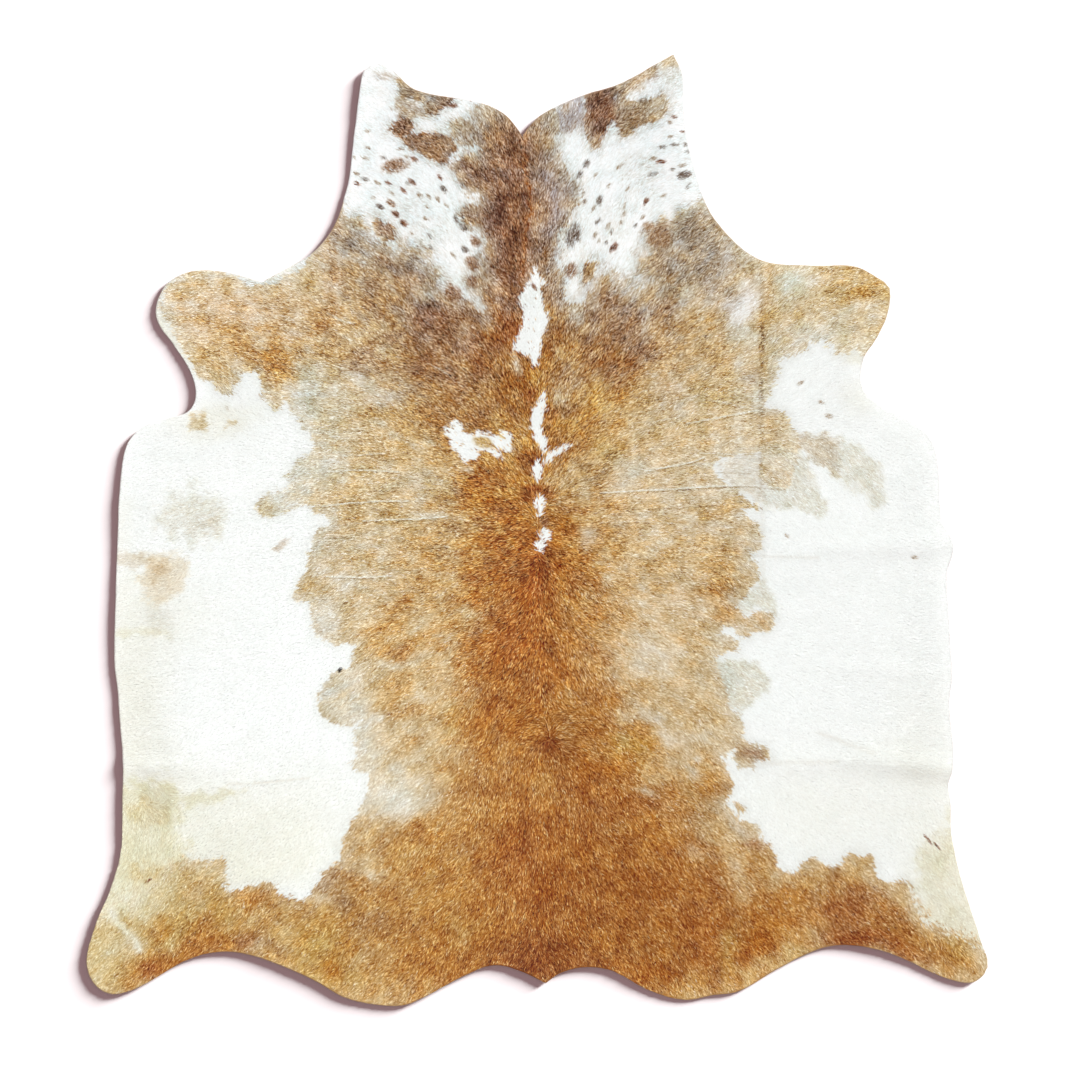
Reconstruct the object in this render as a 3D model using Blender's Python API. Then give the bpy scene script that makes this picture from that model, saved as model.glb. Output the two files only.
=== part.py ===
"""A hair-on cowhide rug: one whole trimmed hide that lies flat on the floor with its hair side up.

Metres, +Z up. X runs across the hide, Y along its spine from the tail to the neck, and the floor is at
z = 0. The origin is on the floor, under the middle of the hide's outline.
"""

import math
from collections import namedtuple

import bpy
from mathutils import Vector, geometry, noise

CM = 0.01
MM = 0.001

# Thickness of the leather with the hair that lies on it.
BODY_THICKNESS = 6.5 * MM
RIM_THICKNESS = 4.0 * MM
RIM_TAPER = 45 * MM  # how far in from the rim the hide is thinner than its body
UNEVENNESS = 0.9 * MM  # how far the thickness wanders up and down
UNEVEN_PATCH = 0.16  # size of a thick or a thin patch

# The rim of a hide never lies quite flat: it lifts off the floor by these heights.
RIM_LIFT_LEAST = 1.0 * MM
RIM_LIFT_MOST = 5.0 * MM
RIM_LIFT_REACH = 60 * MM  # how far in from the rim the hide leaves the floor
RIM_LIFT_PATCH = 0.22  # distance between a high and a low stretch of the rim
RIM_LIFT_LAYER = 4.0  # the noise's third coordinate there, which keeps it unlike the thickness's
NOISE_REACH = 0.6  # the noise seldom passes this value, up or down

# Spacing of the surface's points.
RIM_STEP = 17 * MM
GRID_STEP = 44 * MM
FOLD_STEP = 30 * MM
FOLD_ROWS = (0, 0.45, -0.45, 1, -1)  # a fold's rows of points, as shares of its half width
BAND_INSETS = (12 * MM, 36 * MM)  # rings of points inside the rim, which carry the taper and the lift
BAND_CLEAR = 0.93  # share of its inset that a ring's point keeps from every stretch of the rim
BEZIER_POINTS = 12  # points on the curve between two of the rim's knots

# Least distances between two points of one kind.
OUTER_BAND_GAP = 10 * MM
FOLD_GAP = 7.5 * MM
INNER_BAND_GAP = 20 * MM
GRID_GAP = 27 * MM

# The trimmed rim, clockwise seen from above, in centimetres from the middle of the outline.
# Each stretch begins at the point where the stretch before it ends.
RIM_STRETCHES = {
    "neck, right half": ((-3.1, 86.4), (-2.0, 88.3), (1.7, 91.7), (9.6, 95.3), (18.8, 98.3), (26.7, 102.7)),
    "right ear and side of the neck": (
        (30.1, 104.5), (32.1, 99.9), (32.5, 89.8), (34.7, 79.6), (38.0, 70.2), (43.3, 63.6), (48.5, 59.7),
    ),
    "right foreleg": (
        (53.0, 58.5), (62.0, 58.1), (70.0, 57.9), (75.6, 55.0), (77.7, 53.0), (77.0, 47.0), (74.4, 41.6),
        (71.9, 37.6), (71.6, 31.2), (75.4, 27.4), (81.7, 24.1),
    ),
    "right flank": (
        (86.3, 20.5), (88.3, 13.6), (89.0, 2.0), (90.6, -0.9), (91.6, -3.5), (91.2, -6.3), (90.2, -9.4),
        (90.8, -22.0), (91.3, -32.8), (90.7, -38.0), (91.6, -48.5), (91.3, -53.2), (90.5, -56.0),
        (91.0, -60.0), (91.2, -67.0),
    ),
    "right hind leg": (
        (93.4, -77.0), (97.6, -90.0), (99.2, -95.8), (97.4, -98.6), (94.4, -99.6), (87.7, -97.6),
        (80.2, -94.0), (73.0, -91.8), (66.0, -91.3), (60.5, -92.7), (52.5, -96.8), (44.5, -101.4),
    ),
    "right buttock": (
        (38.8, -102.3), (32.6, -103.3), (24.7, -101.2), (16.8, -97.0), (11.2, -96.1), (5.4, -97.3),
    ),
    "left buttock": (
        (2.0, -99.6), (-3.4, -97.0), (-9.4, -95.7), (-16.0, -98.0), (-25.0, -102.8), (-30.3, -104.6),
        (-41.0, -103.2), (-50.0, -98.4),
    ),
    "left hind leg": (
        (-61.6, -93.8), (-69.4, -92.7), (-77.0, -94.6), (-86.8, -100.2), (-93.0, -102.0), (-97.2, -99.8),
        (-98.9, -94.6), (-96.8, -86.6), (-93.2, -77.7),
    ),
    "left flank": (
        (-91.3, -70.0), (-91.0, -58.0), (-90.9, -51.5), (-91.6, -42.0), (-92.1, -35.0), (-92.8, -29.3),
        (-92.5, -14.0), (-92.0, 1.0), (-91.6, 9.0), (-90.2, 18.3), (-86.6, 22.6),
    ),
    "left foreleg": (
        (-80.6, 24.7), (-76.6, 26.0), (-74.9, 29.3), (-76.0, 34.6), (-79.8, 40.8), (-83.2, 45.6),
        (-83.6, 49.3), (-81.2, 54.2), (-76.0, 56.8), (-69.4, 56.8), (-64.0, 55.6),
    ),
    "left side of the neck": (
        (-60.4, 54.5), (-55.4, 57.2), (-49.0, 61.1), (-44.4, 67.0), (-42.0, 74.0), (-41.1, 78.0),
        (-40.2, 85.8), (-38.9, 96.0), (-38.0, 100.6),
    ),
    "left ear and left half of the neck": (
        (-35.8, 102.4), (-32.2, 101.5), (-27.4, 97.2), (-22.0, 95.6), (-14.2, 94.4), (-8.0, 92.1),
        (-4.6, 88.8),
    ),
}

# These stretches begin at a sharp point instead of a rounded one.
SHARP_STARTS = ("neck, right half", "right ear and side of the neck", "left buttock", "left side of the neck")

# Folds and shipping creases, each a soft ridge. The route is in centimetres, and the height of the ridge
# goes from the first value, at the route's start, to the second one, at its end.
Fold = namedtuple("Fold", "name route_cm first_mm last_mm half_width_mm")
FOLDS = (
    Fold("right flank, upper", ((48, -5.2), (70, -3.6), (92, -3.0)), 2.0, 10.0, 30),
    Fold("right flank, middle", ((60, -31.0), (76, -30.6), (92, -31.8)), 1.5, 4.5, 20),
    Fold("right flank, slanting", ((61, -44.2), (69, -46.6), (78, -50.0)), 2.5, 5.0, 18),
    Fold("right flank, lower", ((48, -51.8), (70, -50.4), (82, -51.4), (92, -53.0)), 2.5, 12.0, 32),
    Fold("left flank, slanting", ((-79, -52.0), (-67, -45.8), (-55, -40.2)), 5.0, 2.0, 22),
    Fold("left flank, upper", ((-92, -51.6), (-76, -52.4), (-62, -52.0)), 8.0, 2.0, 24),
    Fold("left flank, lower", ((-80, -57.2), (-66, -56.0), (-51, -53.6)), 4.0, 1.5, 16),
    Fold("left hock", ((-96, -81.0), (-91.5, -86.0), (-87, -91.0)), 4.0, 2.5, 18),
    Fold("left shipping crease", ((-42, 72), (-42, 42), (-41.5, 12)), 1.0, 1.6, 15),
    Fold("right shipping crease", ((48.5, 60), (48.5, 36), (49, 12)), 1.2, 1.6, 15),
    Fold("neck crease", ((-10, 79.2), (-1, 78.6), (9, 79.6)), 1.2, 1.2, 14),
)
FOLD_ENDS = 60 * MM  # a fold fades over this length where it ends inside the hide

HAIR_COLOUR = (0.42, 0.23, 0.10, 1.0)
HAIR_ROUGHNESS = 0.75


def clear_scene():
    for item in list(bpy.data.objects):
        bpy.data.objects.remove(item, do_unlink=True)


def rim_knots():
    """The rim's points in metres, each with whether it is sharp."""
    knots = []
    for name, points in RIM_STRETCHES.items():
        for index, (x, y) in enumerate(points):
            sharp = index == 0 and name in SHARP_STARTS
            knots.append((Vector((x * CM, y * CM)), sharp))
    return knots


def handle(knot, neighbour, opposite, sharp):
    """The Bezier handle of a knot on the side of its neighbour, a third of the way there."""
    reach = (neighbour - knot).length / 3
    if sharp:
        return knot + (neighbour - knot).normalized() * reach
    return knot + (neighbour - opposite).normalized() * reach


def evenly_spaced(line, step):
    """Points along a line of points, about one step apart, with both ends kept."""
    lengths = [0.0]
    for before, after in zip(line, line[1:]):
        lengths.append(lengths[-1] + (after - before).length)
    count = max(1, round(lengths[-1] / step))
    points = []
    segment = 0
    for index in range(count + 1):
        target = lengths[-1] * index / count
        while segment < len(line) - 2 and lengths[segment + 1] < target:
            segment += 1
        span = max(lengths[segment + 1] - lengths[segment], 1e-9)
        share = min(1.0, (target - lengths[segment]) / span)
        points.append(line[segment].lerp(line[segment + 1], share))
    return points


def rim_outline():
    """The closed rim as points RIM_STEP apart, with the sharp points among them."""
    knots = rim_knots()
    count = len(knots)
    runs = []
    run = []
    first_sharp = next(index for index, knot in enumerate(knots) if knot[1])
    for offset in range(count):
        index = (first_sharp + offset) % count
        point, sharp = knots[index]
        following, next_sharp = knots[(index + 1) % count]
        before = knots[index - 1][0]
        beyond = knots[(index + 2) % count][0]
        if sharp and run:
            runs.append(run)
            run = []
        leaving = handle(point, following, before, sharp)
        arriving = handle(following, point, beyond, next_sharp)
        run += geometry.interpolate_bezier(point, leaving, arriving, following, BEZIER_POINTS)[:-1]
        if offset == count - 1:
            runs.append(run + [following])
    outline = []
    for index, run in enumerate(runs):
        if index < len(runs) - 1:
            run = run + [runs[index + 1][0]]
        outline += evenly_spaced(run, RIM_STEP)[:-1]
    return outline


def nearest_on(line, point, closed=False):
    """How far a point is from a line of points, and how far along the line the nearest place is."""
    best = (math.inf, 0.0)
    along = 0.0
    pairs = list(zip(line, line[1:] + line[:1])) if closed else list(zip(line, line[1:]))
    for start, end in pairs:
        span = end - start
        share = max(0.0, min(1.0, (point - start).dot(span) / span.length_squared))
        distance = (point - start - span * share).length
        if distance < best[0]:
            best = (distance, along + share * span.length)
        along += span.length
    return best


def smooth_step(value):
    value = max(0.0, min(1.0, value))
    return value * value * (3 - 2 * value)


def fold_routes():
    """The folds with their routes as lines of points in metres."""
    routes = []
    for fold in FOLDS:
        corners = [Vector((x * CM, y * CM)) for x, y in fold.route_cm]
        routes.append((fold, evenly_spaced(corners, FOLD_STEP)))
    return routes


def fold_height(point, routes, from_rim):
    """How high the folds raise the hide at a point: the highest of them counts."""
    highest = 0.0
    for fold, route in routes:
        away, along = nearest_on(route, point)
        half_width = fold.half_width_mm * MM
        if away >= half_width:
            continue
        length = sum((b - a).length for a, b in zip(route, route[1:]))
        crest = (fold.first_mm + (fold.last_mm - fold.first_mm) * along / length) * MM
        from_end = min(along, length - along)
        fading = max(smooth_step(from_end / FOLD_ENDS), smooth_step(1 - from_rim / FOLD_ENDS))
        highest = max(highest, crest * fading * math.cos(math.pi / 2 * away / half_width) ** 2)
    return highest


def rim_lift(point, from_rim):
    """How high the rim's own curl raises the hide at a point."""
    place = Vector((point.x / RIM_LIFT_PATCH, point.y / RIM_LIFT_PATCH, RIM_LIFT_LAYER))
    share = 0.5 + 0.5 * noise.noise(place) / NOISE_REACH
    most = RIM_LIFT_LEAST + (RIM_LIFT_MOST - RIM_LIFT_LEAST) * max(0.0, min(1.0, share))
    return most * smooth_step(1 - from_rim / RIM_LIFT_REACH)


def thickness(point, from_rim):
    place = Vector((point.x / UNEVEN_PATCH, point.y / UNEVEN_PATCH, 0.0))
    grown = smooth_step(from_rim / RIM_TAPER)
    body = BODY_THICKNESS + UNEVENNESS * noise.noise(place)
    return RIM_THICKNESS + (body - RIM_THICKNESS) * grown


def inside(point, outline):
    """Whether a point is inside the closed outline, by counting crossings to its right."""
    crossings = 0
    for start, end in zip(outline, outline[1:] + outline[:1]):
        if (start.y > point.y) != (end.y > point.y):
            share = (point.y - start.y) / (end.y - start.y)
            crossings += start.x + (end.x - start.x) * share > point.x
    return crossings % 2 == 1


def ring_inside(outline, inset):
    """Points at one distance inside the rim, but none where another stretch of the rim is nearer."""
    ring = []
    count = len(outline)
    for index in range(count):
        along = outline[(index + 1) % count] - outline[index - 1]
        inward = Vector((along.y, -along.x)).normalized()
        point = outline[index] + inward * inset
        if nearest_on(outline, point, closed=True)[0] > inset * BAND_CLEAR:
            ring.append(point)
    return ring


def fold_rows(routes, outline):
    """Rows of points along each fold: on its crest, halfway down both sides and at both feet."""
    rows = []
    for fold, route in routes:
        half_width = fold.half_width_mm * MM
        for index, place in enumerate(route):
            ahead = route[min(index + 1, len(route) - 1)]
            behind = route[max(index - 1, 0)]
            across = Vector((-(ahead - behind).y, (ahead - behind).x)).normalized()
            for share in FOLD_ROWS:
                point = place + across * (share * half_width)
                if inside(point, outline) and nearest_on(outline, point, closed=True)[0] > BAND_INSETS[0]:
                    rows.append((abs(share), point))
    rows.sort(key=lambda row: row[0])
    return [point for _, point in rows]


def grid_points(outline):
    """Even points over the hide, each row set off by half a step."""
    rise = GRID_STEP * math.sqrt(3) / 2
    low = Vector((min(p.x for p in outline), min(p.y for p in outline)))
    high = Vector((max(p.x for p in outline), max(p.y for p in outline)))
    points = []
    for row in range(math.ceil((high.y - low.y) / rise)):
        for column in range(math.ceil((high.x - low.x) / GRID_STEP)):
            x = low.x + (column + 0.5 * (row % 2)) * GRID_STEP
            point = Vector((x, low.y + row * rise))
            if not inside(point, outline):
                continue
            if nearest_on(outline, point, closed=True)[0] > BAND_INSETS[-1] + GRID_STEP / 2:
                points.append(point)
    return points


def add_apart(kept, wanted, gap):
    """Adds each wanted point that no kept point is nearer to than the gap."""
    cells = {}
    for point in kept:
        cells.setdefault((int(point.x // gap), int(point.y // gap)), []).append(point)
    for point in wanted:
        cell_x = int(point.x // gap)
        cell_y = int(point.y // gap)
        near = []
        for x in (cell_x - 1, cell_x, cell_x + 1):
            for y in (cell_y - 1, cell_y, cell_y + 1):
                near += cells.get((x, y), [])
        if all((point - other).length > gap for other in near):
            kept.append(point)
            cells.setdefault((cell_x, cell_y), []).append(point)


def surface_points(outline, routes):
    """All points of the hide seen from above, those of the rim first."""
    points = list(outline)
    add_apart(points, ring_inside(outline, BAND_INSETS[0]), OUTER_BAND_GAP)
    add_apart(points, fold_rows(routes, outline), FOLD_GAP)
    add_apart(points, ring_inside(outline, BAND_INSETS[1]), INNER_BAND_GAP)
    add_apart(points, grid_points(outline), GRID_GAP)
    return points


def hide_mesh():
    """The hide as one closed mesh: an underside, a hair side and the rim between them."""
    outline = rim_outline()
    routes = fold_routes()
    points = surface_points(outline, routes)
    rim_count = len(outline)
    rim_edges = [(i, (i + 1) % rim_count) for i in range(rim_count)]
    flat, _, triangles, originals, _, _ = geometry.delaunay_2d_cdt(points, rim_edges, [], 1, 1e-6)
    place_of = {}
    for index, sources in enumerate(originals):
        for source in sources:
            place_of[source] = index
    under = []
    top = []
    for point in flat:
        from_rim = nearest_on(outline, point, closed=True)[0]
        floor_gap = max(fold_height(point, routes, from_rim), rim_lift(point, from_rim))
        under.append((point.x, point.y, floor_gap))
        top.append((point.x, point.y, floor_gap + thickness(point, from_rim)))
    count = len(flat)
    faces = []
    for triangle in triangles:
        a, b, c = triangle
        if (flat[b] - flat[a]).cross(flat[c] - flat[a]) < 0:
            b, c = c, b
        faces.append((a + count, b + count, c + count))
        faces.append((c, b, a))
    rim = [place_of[index] for index in range(rim_count)]
    for this, following in zip(rim, rim[1:] + rim[:1]):
        faces.append((following, this, this + count, following + count))
    mesh = bpy.data.meshes.new("hide")
    mesh.from_pydata(under + top, [], faces)
    mesh.validate()
    return mesh


def hair_material():
    material = bpy.data.materials.new("brown_hair")
    material.use_nodes = True
    shader = material.node_tree.nodes["Principled BSDF"]
    shader.inputs["Base Color"].default_value = HAIR_COLOUR
    shader.inputs["Roughness"].default_value = HAIR_ROUGHNESS
    shader.inputs["Metallic"].default_value = 0.0
    return material


def make_hide():
    mesh = hide_mesh()
    mesh.materials.append(hair_material())
    mesh.shade_smooth()
    mesh.set_sharp_from_angle(angle=math.radians(50))
    hide = bpy.data.objects.new("hide", mesh)
    bpy.context.scene.collection.objects.link(hide)
    return hide


clear_scene()
make_hide()
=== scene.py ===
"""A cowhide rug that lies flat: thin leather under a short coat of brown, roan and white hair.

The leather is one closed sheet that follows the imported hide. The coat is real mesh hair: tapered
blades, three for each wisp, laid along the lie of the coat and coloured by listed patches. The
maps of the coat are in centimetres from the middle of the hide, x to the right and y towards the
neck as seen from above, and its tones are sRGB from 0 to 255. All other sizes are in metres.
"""
import math
from collections import namedtuple

import bmesh
import bpy
import numpy as np
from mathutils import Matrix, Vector, geometry
from mathutils.bvhtree import BVHTree


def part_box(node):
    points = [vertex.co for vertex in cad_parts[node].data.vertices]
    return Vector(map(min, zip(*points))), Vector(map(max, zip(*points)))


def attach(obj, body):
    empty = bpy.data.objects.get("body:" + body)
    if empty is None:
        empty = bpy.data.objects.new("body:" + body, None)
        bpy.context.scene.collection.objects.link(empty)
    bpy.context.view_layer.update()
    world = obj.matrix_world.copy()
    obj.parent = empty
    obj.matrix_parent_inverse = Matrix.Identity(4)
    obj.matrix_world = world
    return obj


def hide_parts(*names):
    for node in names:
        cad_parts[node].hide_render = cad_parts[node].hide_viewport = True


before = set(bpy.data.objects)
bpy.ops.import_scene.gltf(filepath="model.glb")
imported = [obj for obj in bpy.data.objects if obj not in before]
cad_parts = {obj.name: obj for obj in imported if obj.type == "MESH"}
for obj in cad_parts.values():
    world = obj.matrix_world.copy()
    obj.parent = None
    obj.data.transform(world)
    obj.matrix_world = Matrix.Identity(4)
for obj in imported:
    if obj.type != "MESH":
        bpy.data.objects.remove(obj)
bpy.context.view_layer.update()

CM = 0.01
MM = 0.001
SEED = 4107
TINY = 1e-12

# The hide's own sizes
LEATHER_GAP = 0.3 * MM  # the leather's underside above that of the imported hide
LEATHER_THICKNESS = 2.0 * MM
LEATHER_WAVER = 0.25 * MM  # how far the hair side goes up and down, and over what length
LEATHER_WAVER_SIZE = 18 * MM
LEATHER_STEP = 11 * MM
LEATHER_SHADE = 0.93  # of the hair's light, for the skin below it
EDGE_ROUGHNESS = 0.7 * MM  # how far the cut edge wanders, and over what lengths
EDGE_WAVES = (21 * MM, 8 * MM)
EDGE_PARTS = 4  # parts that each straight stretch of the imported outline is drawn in
EDGE_CORNER = math.radians(28)  # sharper turns of the outline stay corners
EDGE_RING = 5 * MM  # how far inside the edge the next ring of the mesh lies
RING_CLEAR = 4 * MM  # how far from the edge it stays where the outline is narrow
HALF_BOX = 1.2  # from the middle of the hide, beyond its rim

# The coat's own sizes
WISP_STEP = 3.3 * MM
WISP_MOVE = 0.42  # how far a wisp may stand off its grid place, in steps
WISP_BOX = ((-1.02, -1.08), (1.02, 1.08))
WISP_CLEAR = 0.6 * MM  # how far inside the bare strip the wisps stand
BLADES_PER_WISP = 3
BLADE_LENGTH = 8.2 * MM
BLADE_WIDTH = 1.8 * MM
SHORTEST_BLADE = 3.5 * MM
BAND_COUNT = 5
RIM_BARE = 1.6 * MM  # strip of cut edge that the hair leaves open
PILE_LOW = 1.2 * MM
PILE_HIGH = 5.0 * MM

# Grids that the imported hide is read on
HEIGHT_STEP = 10 * MM
HEIGHT_SOFTENING = 2  # how often the heights are evened out
RIM_STEP = 5 * MM
CHUNK_CELLS = 12_000_000  # how many distances are worked out at a time

TONES = {
    "white": (239, 243, 241),
    "frost": (238, 243, 243),
    "pearl": (206, 208, 202),
    "milk": (233, 235, 226),
    "pale cream": (229, 231, 216),
    "cream": (226, 225, 206),
    "straw": (220, 218, 191),
    "wheat": (210, 193, 145),
    "hay": (195, 170, 114),
    "oat": (214, 205, 184),
    "pale oat": (215, 210, 193),
    "mist": (221, 219, 206),
    "ash": (206, 205, 190),
    "lilac": (224, 219, 213),
    "pale sand": (219, 203, 170),
    "sand": (210, 191, 152),
    "honey": (206, 177, 123),
    "tan": (196, 167, 119),
    "gold": (193, 159, 91),
    "ginger": (189, 145, 81),
    "copper": (185, 130, 63),
    "orange": (175, 121, 58),
    "amber": (173, 107, 36),
    "russet": (169, 109, 49),
    "rust": (163, 98, 42),
    "chestnut": (148, 88, 42),
    "dark": (134, 74, 32),
    "umber": (131, 94, 72),
    "mud": (124, 112, 98),
    "cocoa": (150, 116, 87),
    "rosy umber": (168, 149, 138),
    "blush": (226, 190, 165),
    "taupe": (167, 137, 105),
    "smoke": (170, 155, 134),
    "lilac smoke": (172, 163, 156),
    "rosy smoke": (201, 186, 166),
    "rosy roan": (216, 210, 193),
    "roan": (217, 217, 203),
    "pale smoke": (192, 178, 158),
    "black": (40, 34, 30),
}


class Noise:
    """Smooth seeded noise between -1 and 1."""

    def __init__(self, seed):
        self.table = np.random.default_rng(seed).uniform(-1, 1, (256, 256))

    def at(self, x, y, size):
        column = np.floor(x / size).astype(int)
        row = np.floor(y / size).astype(int)
        part_x = x / size - column
        part_y = y / size - row
        ease_x = part_x * part_x * (3 - 2 * part_x)
        ease_y = part_y * part_y * (3 - 2 * part_y)
        column, row, right, above = column & 255, row & 255, (column + 1) & 255, (row + 1) & 255
        low = self.table[column, row] * (1 - ease_x) + self.table[right, row] * ease_x
        high = self.table[column, above] * (1 - ease_x) + self.table[right, above] * ease_x
        return low * (1 - ease_y) + high * ease_y


class Grid:
    """Values on an even grid, read between its points."""

    def __init__(self, low, step, values):
        self.low = low
        self.step = step
        self.values = values

    def at(self, x, y):
        last_column, last_row = (count - 1.001 for count in self.values.shape)
        across = np.clip((x - self.low[0]) / self.step, 0, last_column)
        along = np.clip((y - self.low[1]) / self.step, 0, last_row)
        column = across.astype(int)
        row = along.astype(int)
        part_x = across - column
        part_y = along - row
        low = self.values[column, row] * (1 - part_x) + self.values[column + 1, row] * part_x
        row = row + 1
        high = self.values[column, row] * (1 - part_x) + self.values[column + 1, row] * part_x
        return low * (1 - part_y) + high * part_y


def ease(value):
    """Goes smoothly from 0 to 1 as the value does."""
    value = np.clip(value, 0.0, 1.0)
    return value * value * (3 - 2 * value)


def inside_distance(x, y, outline):
    """Distance of each point to a closed outline, above 0 inside it and below 0 outside."""
    start = np.asarray(outline, dtype=np.float64)
    along = np.roll(start, -1, axis=0) - start
    length = np.maximum((along ** 2).sum(1), TINY)
    rise = np.where(np.abs(along[:, 1]) < TINY, TINY, along[:, 1])
    result = np.empty(len(x))
    chunk = CHUNK_CELLS // len(start)
    for first in range(0, len(x), chunk):
        away_x = x[first:first + chunk, None] - start[:, 0]
        away_y = y[first:first + chunk, None] - start[:, 1]
        share = np.clip((away_x * along[:, 0] + away_y * along[:, 1]) / length, 0, 1)
        gap = (away_x - share * along[:, 0]) ** 2 + (away_y - share * along[:, 1]) ** 2
        crosses = (away_y < 0) != (away_y - along[:, 1] < 0)
        to_right = along[:, 0] * away_y / rise > away_x
        odd = (crosses & to_right).sum(1) % 2 == 1
        result[first:first + chunk] = np.where(odd, 1, -1) * np.sqrt(gap.min(1))
    return result


def in_box(x, y, points, margin):
    """Which places lie in the box around some points, or within a margin of it."""
    points = np.asarray(points)
    low = points.min(0) - margin
    high = points.max(0) + margin
    return (x > low[0]) & (x < high[0]) & (y > low[1]) & (y < high[1])


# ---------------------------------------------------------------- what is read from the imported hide


def packed_outline(mesh):
    """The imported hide's outline from above, counter-clockwise: the border of its upper faces."""
    form = bmesh.new()
    form.from_mesh(mesh)
    bmesh.ops.remove_doubles(form, verts=form.verts, dist=0.05 * MM)
    form.normal_update()
    lower = [face for face in form.faces if face.normal.z < 0.5]
    bmesh.ops.delete(form, geom=lower, context="FACES")
    following = {}
    for edge in form.edges:
        if len(edge.link_faces) == 1:
            loop = edge.link_loops[0]
            following[loop.vert.index] = loop.link_loop_next.vert.index
    form.verts.ensure_lookup_table()
    first = next(iter(following))
    outline = []
    index = first
    while True:
        outline.append(form.verts[index].co.xy.copy())
        index = following[index]
        if index == first:
            break
    form.free()
    return outline


def grid_places(box, step, margin):
    """The lowest corner of an even grid over a box with a margin, and the x and y of its places."""
    low = (box[0][0] - margin, box[0][1] - margin)
    columns = int((box[1][0] - box[0][0] + 2 * margin) / step) + 2
    rows = int((box[1][1] - box[0][1] + 2 * margin) / step) + 2
    across = low[0] + step * np.arange(columns)
    along = low[1] + step * np.arange(rows)
    x, y = np.meshgrid(across, along, indexing="ij")
    return low, x, y


def staggered_places(box, step):
    """The x and y of an even grid's places, with every second row moved by half a step."""
    _, x, y = grid_places(box, step, 0)
    return (x + step / 2 * (np.arange(x.shape[1]) % 2)).ravel(), y.ravel()


def filled(values):
    """The grid with its empty places filled from their neighbours, outward from the hide."""
    values = values.copy()
    while np.isnan(values).any():
        padded = np.pad(values, 1, mode="edge")
        near = np.stack([padded[:-2, 1:-1], padded[2:, 1:-1], padded[1:-1, :-2], padded[1:-1, 2:]])
        known = ~np.isnan(near)
        total = np.where(known, near, 0).sum(0)
        count = known.sum(0)
        empty = np.isnan(values) & (count > 0)
        values[empty] = (total / np.maximum(count, 1))[empty]
    return values


def softened(values):
    """The grid with each place evened out with its neighbours."""
    for _ in range(HEIGHT_SOFTENING):
        padded = np.pad(values, 1, mode="edge")
        values = (padded[:-2, 1:-1] + 2 * padded[1:-1, 1:-1] + padded[2:, 1:-1]) / 4
        padded = np.pad(values, 1, mode="edge")
        values = (padded[1:-1, :-2] + 2 * padded[1:-1, 1:-1] + padded[1:-1, 2:]) / 4
    return values


def packed_heights(mesh, box):
    """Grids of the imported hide's underside and of its thickness."""
    polygons = [tuple(polygon.vertices) for polygon in mesh.polygons]
    tree = BVHTree.FromPolygons([vertex.co for vertex in mesh.vertices], polygons)
    low, x, y = grid_places(box, HEIGHT_STEP, 3 * HEIGHT_STEP)
    under = np.full(x.shape, np.nan)
    over = np.full(x.shape, np.nan)
    up = Vector((0, 0, 1))
    for place in np.ndindex(x.shape):
        from_below = tree.ray_cast(Vector((x[place], y[place], -1)), up)[0]
        if from_below is None:
            continue
        from_above = tree.ray_cast(Vector((x[place], y[place], 1)), -up)[0]
        under[place] = from_below.z
        over[place] = from_above.z
    under = softened(filled(under))
    over = softened(filled(over))
    return Grid(low, HEIGHT_STEP, under), Grid(low, HEIGHT_STEP, over - under)


# ---------------------------------------------------------------- the maps of the coat, in cm

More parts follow.
